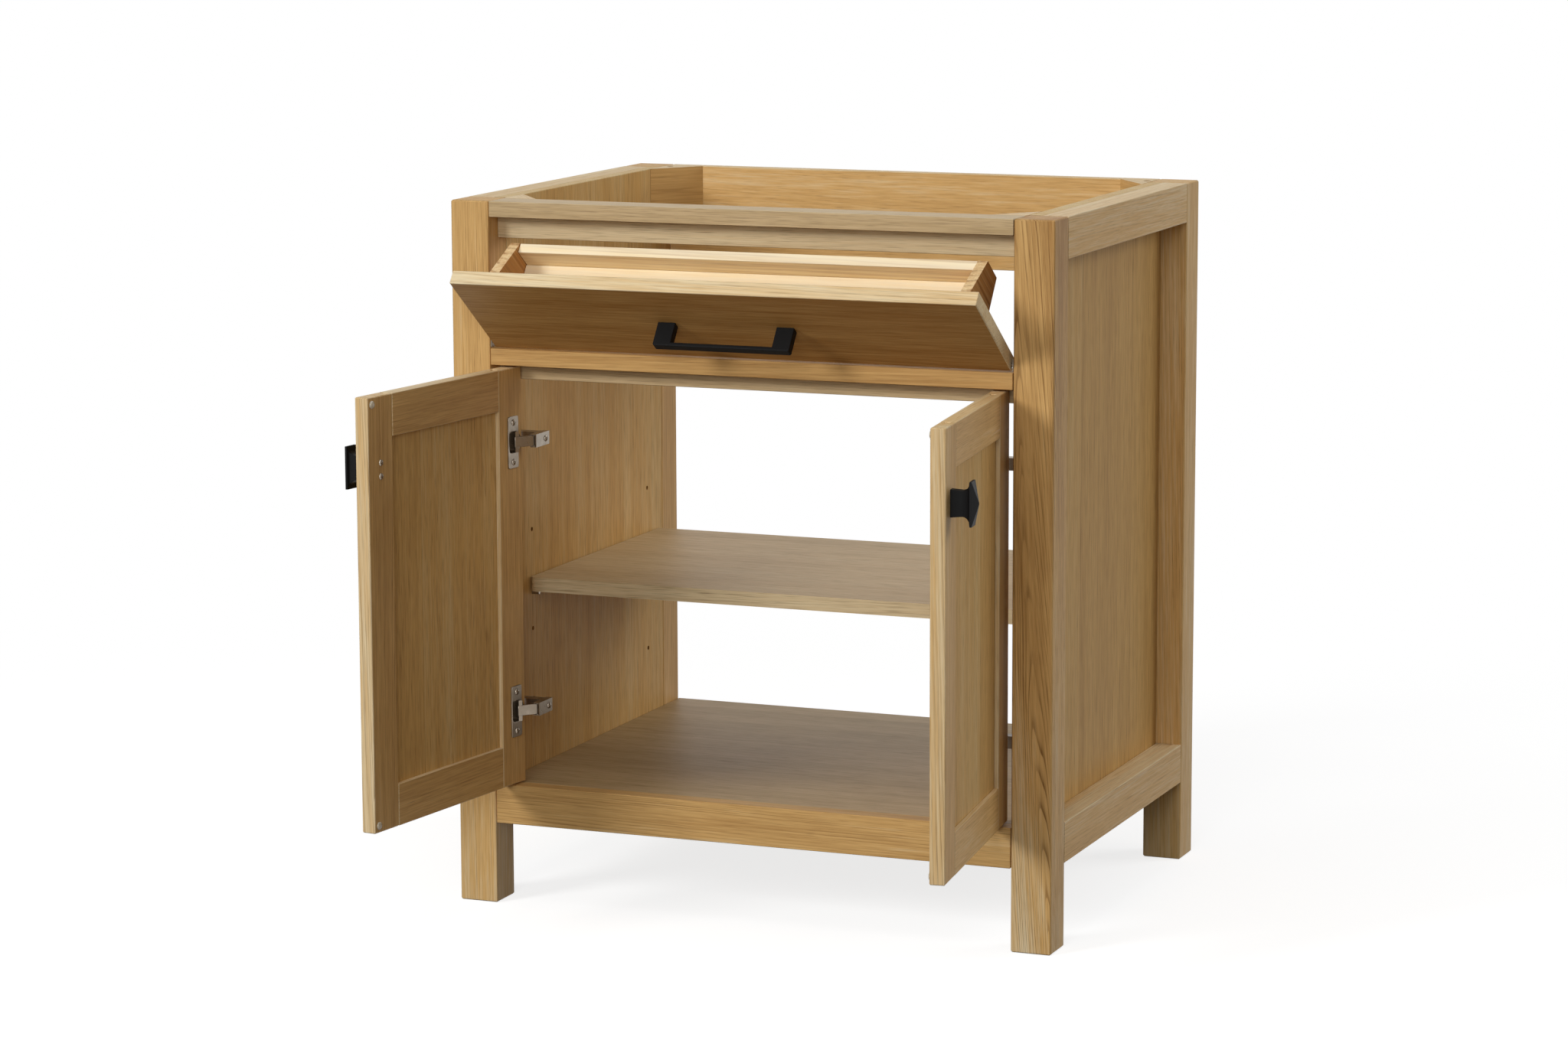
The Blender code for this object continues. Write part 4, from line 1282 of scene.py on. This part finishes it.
@dataclass
class Screws:
    """Cross-head screws, set on points by a node tree, one mesh for each body.

    A spread is the distance between a pair of screws, and a sink is how deep the middle of a head lies
    in steel or in wood. The seat of an arm's plate is its distance from the side of the cabinet.
    """

    head: float = 0.0080
    dome: float = 0.0021
    recess: Pair = (0.0048, 0.0012)
    head_segments: int = 24
    head_rings: int = 12
    steel_sink: float = 0.0001
    wood_sink: float = 0.0003
    cup_spread: float = 0.0480
    knob_spread: float = 0.016
    handle_spread: float = 0.149
    arm_screw: float = 0.0270
    plate_seat: float = 0.002
    plate_screw: float = 0.0085
    plate_spread: float = 0.017

    def build(self, shop: Workshop) -> None:
        """Builds the screws of every body.

        Args:
            shop: the workshop that holds the frame.
        """
        tree = self._tree()
        for side in Side:
            self._set(shop, tree, f"{side.label}_door", list(self._door_screws(shop, side)))
        self._set(shop, tree, "cabinet", list(self._arm_screws()))
        self._set(shop, tree, "tilt_front", list(self._handle_screws(shop)))

    def _door_screws(self, shop: Workshop, side: Side) -> Iterable[tuple[Vector, Vector]]:
        """Gives the screws of a door: two in each cup plate and two behind the knob.

        Args:
            shop: the workshop that holds the frame.
            side: the door's side.

        Yields:
            A screw's place and the way its head looks, in the closed cabinet.
        """
        look = Vector((0.0, 1.0, 0.0))
        for row in HINGE_ROWS:
            low, high = shop.closed_box(f"hinge_cup_{side.label}_{row}")
            for step in (-1, 1):
                yield Vector(((low.x + high.x) / 2, high.y - self.steel_sink,
                              (low.z + high.z) / 2 + step * self.cup_spread / 2)), look
        low, high = shop.closed_box(f"{side.label}_door_knob")
        inner = shop.closed_box(f"{side.label}_door_free_stile")[1].y
        for step in (-1, 1):
            yield Vector(((low.x + high.x) / 2, inner - self.wood_sink,
                          (low.z + high.z) / 2 + step * self.knob_spread / 2)), look

    def _arm_screws(self) -> Iterable[tuple[Vector, Vector]]:
        """Gives the screws of the hinge arms: one in each face and two in each plate.

        Yields:
            A screw's place and the way its head looks.
        """
        for side in Side:
            look = Vector((-side.value, 0.0, 0.0))
            for row in HINGE_ROWS:
                low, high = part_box(f"hinge_arm_{side.label}_{row}")
                middle = (low.z + high.z) / 2
                face, back = (low.x, high.x) if side is Side.RIGHT else (high.x, low.x)
                yield Vector((face, low.y + self.arm_screw, middle)), look
                for step in (-1, 1):
                    yield Vector((back - side.value * self.plate_seat, high.y - self.plate_screw,
                                  middle + step * self.plate_spread / 2)), look

    def _handle_screws(self, shop: Workshop) -> Iterable[tuple[Vector, Vector]]:
        """Gives the screws of the handle, seen on the inner face of the tilt front.

        Args:
            shop: the workshop that holds the frame.

        Yields:
            A screw's place and the way its head looks, in the closed cabinet.
        """
        low, high = shop.closed_box("tilt_handle")
        inner = shop.closed_box("tilt_front")[1].y
        for step in (-1, 1):
            yield Vector(((low.x + high.x) / 2 + step * self.handle_spread / 2, inner - self.wood_sink,
                          (low.z + high.z) / 2)), Vector((0.0, 1.0, 0.0))

    def _tree(self) -> Tree:
        """Builds the node tree that sets a screw head on each point.

        Returns:
            The node tree.
        """
        tree = bpy.data.node_groups.new("screw_heads", "GeometryNodeTree")
        tree.is_modifier = True
        tree.interface.new_socket("Geometry", in_out="INPUT", socket_type="NodeSocketGeometry")
        for name in ("Head Diameter", "Dome Height", "Recess Length", "Recess Width"):
            tree.interface.new_socket(name, in_out="INPUT", socket_type="NodeSocketFloat")
        tree.interface.new_socket("Material", in_out="INPUT", socket_type="NodeSocketMaterial")
        tree.interface.new_socket("Geometry", in_out="OUTPUT", socket_type="NodeSocketGeometry")
        given = add_node(tree, "NodeGroupInput").outputs
        half = add_node(tree, MATH, {0: given["Head Diameter"], 1: 0.5}, operation="MULTIPLY")
        size = add_node(tree, "ShaderNodeCombineXYZ", {0: half, 1: half, 2: given["Dome Height"]})
        ball = add_node(tree, "GeometryNodeMeshUVSphere", {"Segments": self.head_segments,
                                                           "Rings": self.head_rings, "Radius": 1.0})
        dome = add_node(tree, "GeometryNodeTransform", {"Geometry": ball, "Scale": size})
        top = add_node(tree, "ShaderNodeCombineXYZ", {2: given["Dome Height"]})
        bars = []
        for first, second in (("Recess Length", "Recess Width"), ("Recess Width", "Recess Length")):
            span = add_node(tree, "ShaderNodeCombineXYZ",
                            {0: given[first], 1: given[second], 2: given["Dome Height"]})
            bar = add_node(tree, "GeometryNodeMeshCube", {"Size": span})
            bars.append(add_node(tree, "GeometryNodeTransform", {"Geometry": bar, "Translation": top}))
        head = add_node(tree, "GeometryNodeMeshBoolean", {"Mesh 1": dome}, operation="DIFFERENCE",
                        solver="EXACT")
        for bar in bars:
            wire(tree, head, {"Mesh 2": bar})
        look = add_node(tree, "GeometryNodeInputNamedAttribute", {"Name": "look"}, data_type="FLOAT_VECTOR")
        turn = add_node(tree, "FunctionNodeAlignRotationToVector",
                        {"Vector": look.outputs["Attribute"]}, axis="Z")
        spread = add_node(tree, "GeometryNodeInstanceOnPoints",
                          {"Points": given["Geometry"], "Instance": head, "Rotation": turn})
        real = add_node(tree, "GeometryNodeRealizeInstances", {"Geometry": spread})
        dressed = add_node(tree, "GeometryNodeSetMaterial",
                           {"Geometry": real, "Material": given["Material"]})
        add_node(tree, "NodeGroupOutput", {0: dressed})
        return tree

    def _set(self, shop: Workshop, tree: Tree, body: str, spots: list[tuple[Vector, Vector]]) -> None:
        """Sets the screws of one body.

        Args:
            shop: the workshop that holds the frame.
            tree: the node tree that makes the heads.
            body: the body that they ride.
            spots: each screw's place and the way its head looks, in the closed cabinet.
        """
        back = shop.closing[body].inverted()
        points = bpy.data.meshes.new(f"screws_{body}")
        points.from_pydata([back @ place for place, _ in spots], [], [])
        mark(points, "look", "FLOAT_VECTOR", "POINT", [back.to_3x3() @ way for _, way in spots])
        holder = put(f"screws_{body}", points)
        modifier = holder.modifiers.new("heads", "NODES")
        modifier.node_group = tree
        sizes = {
            "Head Diameter": self.head,
            "Dome Height": self.dome,
            "Recess Length": self.recess[0],
            "Recess Width": self.recess[1],
            "Material": shop.materials[NICKEL.name],
        }
        for socket in tree.interface.items_tree:
            if socket.in_out == "INPUT" and socket.name in sizes:
                modifier[socket.identifier] = sizes[socket.name]
        mesh = shop.baked(holder)
        mesh.shade_smooth()
        mesh.set_sharp_from_angle(angle=math.radians(STEEL_SHARP_DEG))
        shop.place(f"screws_{body}", mesh, body, Slot.NICKEL, NICKEL.name)


@dataclass(frozen=True)
class Lamp:
    """A square soft lamp: its place, the length of its sides and its power in watts."""

    name: str
    place: Triple
    size: float
    power: float

    def build(self, aim: Triple) -> None:
        """Hangs the lamp.

        Args:
            aim: the point that it looks at.
        """
        lamp = bpy.data.lights.new(self.name, "AREA")
        lamp.shape = "SQUARE"
        lamp.size = self.size
        lamp.energy = self.power
        holder = put(self.name, lamp)
        holder.location = self.place
        way = Vector(aim) - Vector(self.place)
        holder.rotation_euler = way.to_track_quat("-Z", "Y").to_euler()


@dataclass
class Studio:
    """The pale floor, the soft light and the camera."""

    lamps: tuple[Lamp, ...] = (
        Lamp("key", (-4.7, -6.9, 4.1), 2.5, 394.0),
        Lamp("fill", (1.05, -4.7, 2.1), 2.2, 72.0),
        Lamp("side", (4.0, 2.6, 2.5), 2.6, 75.0),
        Lamp("top", (-0.2, -0.8, 3.7), 2.0, 20.0),
    )
    lamp_aim: Triple = (0.0, 0.1, 0.45)
    ambient: float = 0.135
    floor_radius: float = 6.0
    floor_sides: int = 96
    floor_drop: float = 0.0005
    floor_fade: Pair = (0.75, 2.2)
    floor_white: float = 1.42
    shadow_share: float = 0.45
    camera_place: Triple = (2.01385, -5.018419, 1.35244)
    camera_yaw: float = 21.9106
    camera_pitch: float = -9.2949
    camera_roll: float = -0.1857
    camera_lens: float = 104.265
    camera_sensor: float = 36.0

    def build(self) -> None:
        """Builds the floor, the light and the camera."""
        self._floor()
        self._world()
        for lamp in self.lamps:
            lamp.build(self.lamp_aim)
        self._camera()
        bpy.context.scene.view_settings.view_transform = "Standard"

    def _floor(self) -> None:
        """Builds the pale floor, which fades out to the white background."""
        shape = bmesh.new()
        bmesh.ops.create_circle(shape, cap_ends=True, segments=self.floor_sides, radius=self.floor_radius)
        floor = put("floor", mesh_of(shape, "floor"))
        floor.location.z = -self.floor_drop
        material = new_material("pale_floor")[0]
        tree = material.node_tree
        tree.nodes.clear()
        place = add_node(tree, "ShaderNodeTexCoord").outputs["Object"]
        away = add_node(tree, "ShaderNodeVectorMath", {0: place}, operation="LENGTH")
        fade = add_node(tree, MAP_RANGE,
                        {"Value": away.outputs["Value"], "From Min": self.floor_fade[0],
                         "From Max": self.floor_fade[1]}, interpolation_type="SMOOTHSTEP")
        path = add_node(tree, "ShaderNodeLightPath").outputs
        seen = add_node(tree, MATH, {0: path["Is Camera Ray"], 1: path["Is Glossy Ray"]},
                        operation="MAXIMUM")
        tint = add_node(tree, MIX, {0: seen, 6: colour("565049"), 7: colour("FBFBFA")}, data_type="RGBA")
        matt = add_node(tree, "ShaderNodeBsdfDiffuse", {"Color": tint.outputs[2]})
        veil, white = (
            add_node(tree, "ShaderNodeEmission", {"Color": colour("FFFFFF"), "Strength": strength})
            for strength in (self.floor_white, 1.0)
        )
        near = add_node(tree, "ShaderNodeMixShader", {0: self.shadow_share, 1: veil, 2: matt})
        whole = add_node(tree, "ShaderNodeMixShader", {0: fade, 1: near, 2: white})
        shown = add_node(tree, "ShaderNodeMixShader", {0: seen, 1: matt, 2: whole})
        add_node(tree, "ShaderNodeOutputMaterial", {"Surface": shown})
        floor.data.materials.append(material)

    def _world(self) -> None:
        """Builds an even dim surround that the camera sees as white."""
        world = bpy.data.worlds.new("studio")
        world.use_nodes = True
        tree = world.node_tree
        tree.nodes.clear()
        path = add_node(tree, "ShaderNodeLightPath").outputs
        clear = add_node(tree, MATH, {0: path["Is Camera Ray"], 1: path["Is Transmission Ray"]},
                         operation="MAXIMUM")
        seen = add_node(tree, MATH, {0: clear, 1: path["Is Glossy Ray"]}, operation="MAXIMUM")
        level = add_node(tree, MAP_RANGE, {"Value": seen, "To Min": self.ambient, "To Max": 1.0})
        light = add_node(tree, "ShaderNodeBackground", {"Color": colour("FFFFFF"), "Strength": level})
        add_node(tree, "ShaderNodeOutputWorld", {"Surface": light})
        bpy.context.scene.world = world

    def _camera(self) -> None:
        """Places the camera at the photograph's angle, for a 2048 by 1372 picture."""
        data = bpy.data.cameras.new("camera")
        data.sensor_fit = "HORIZONTAL"
        data.sensor_width = self.camera_sensor
        data.lens = self.camera_lens
        camera = put("camera", data)
        turn = (
            Matrix.Rotation(math.radians(self.camera_yaw), 4, "Z")
            @ Matrix.Rotation(math.radians(90.0 + self.camera_pitch), 4, "X")
            @ Matrix.Rotation(math.radians(self.camera_roll), 4, "Z")
        )
        camera.matrix_world = Matrix.Translation(self.camera_place) @ turn
        bpy.context.scene.camera = camera


def main() -> None:
    """Builds the object's pieces in order."""
    logging.basicConfig(level=logging.INFO, format="%(message)s")
    for item in list(bpy.data.objects):
        bpy.data.objects.remove(item, do_unlink=True)
    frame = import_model()
    shop = Workshop(frame)
    Carcass().build(shop)
    Shelf().build(shop)
    for side, tones in DOOR_TONES.items():
        Door(side, *tones).build(shop)
        for row in HINGE_ROWS:
            Hinge(side, row).build(shop)
    TiltFront().build(shop)
    Screws().build(shop)
    Studio().build()


if __name__ == "__main__":
    main()
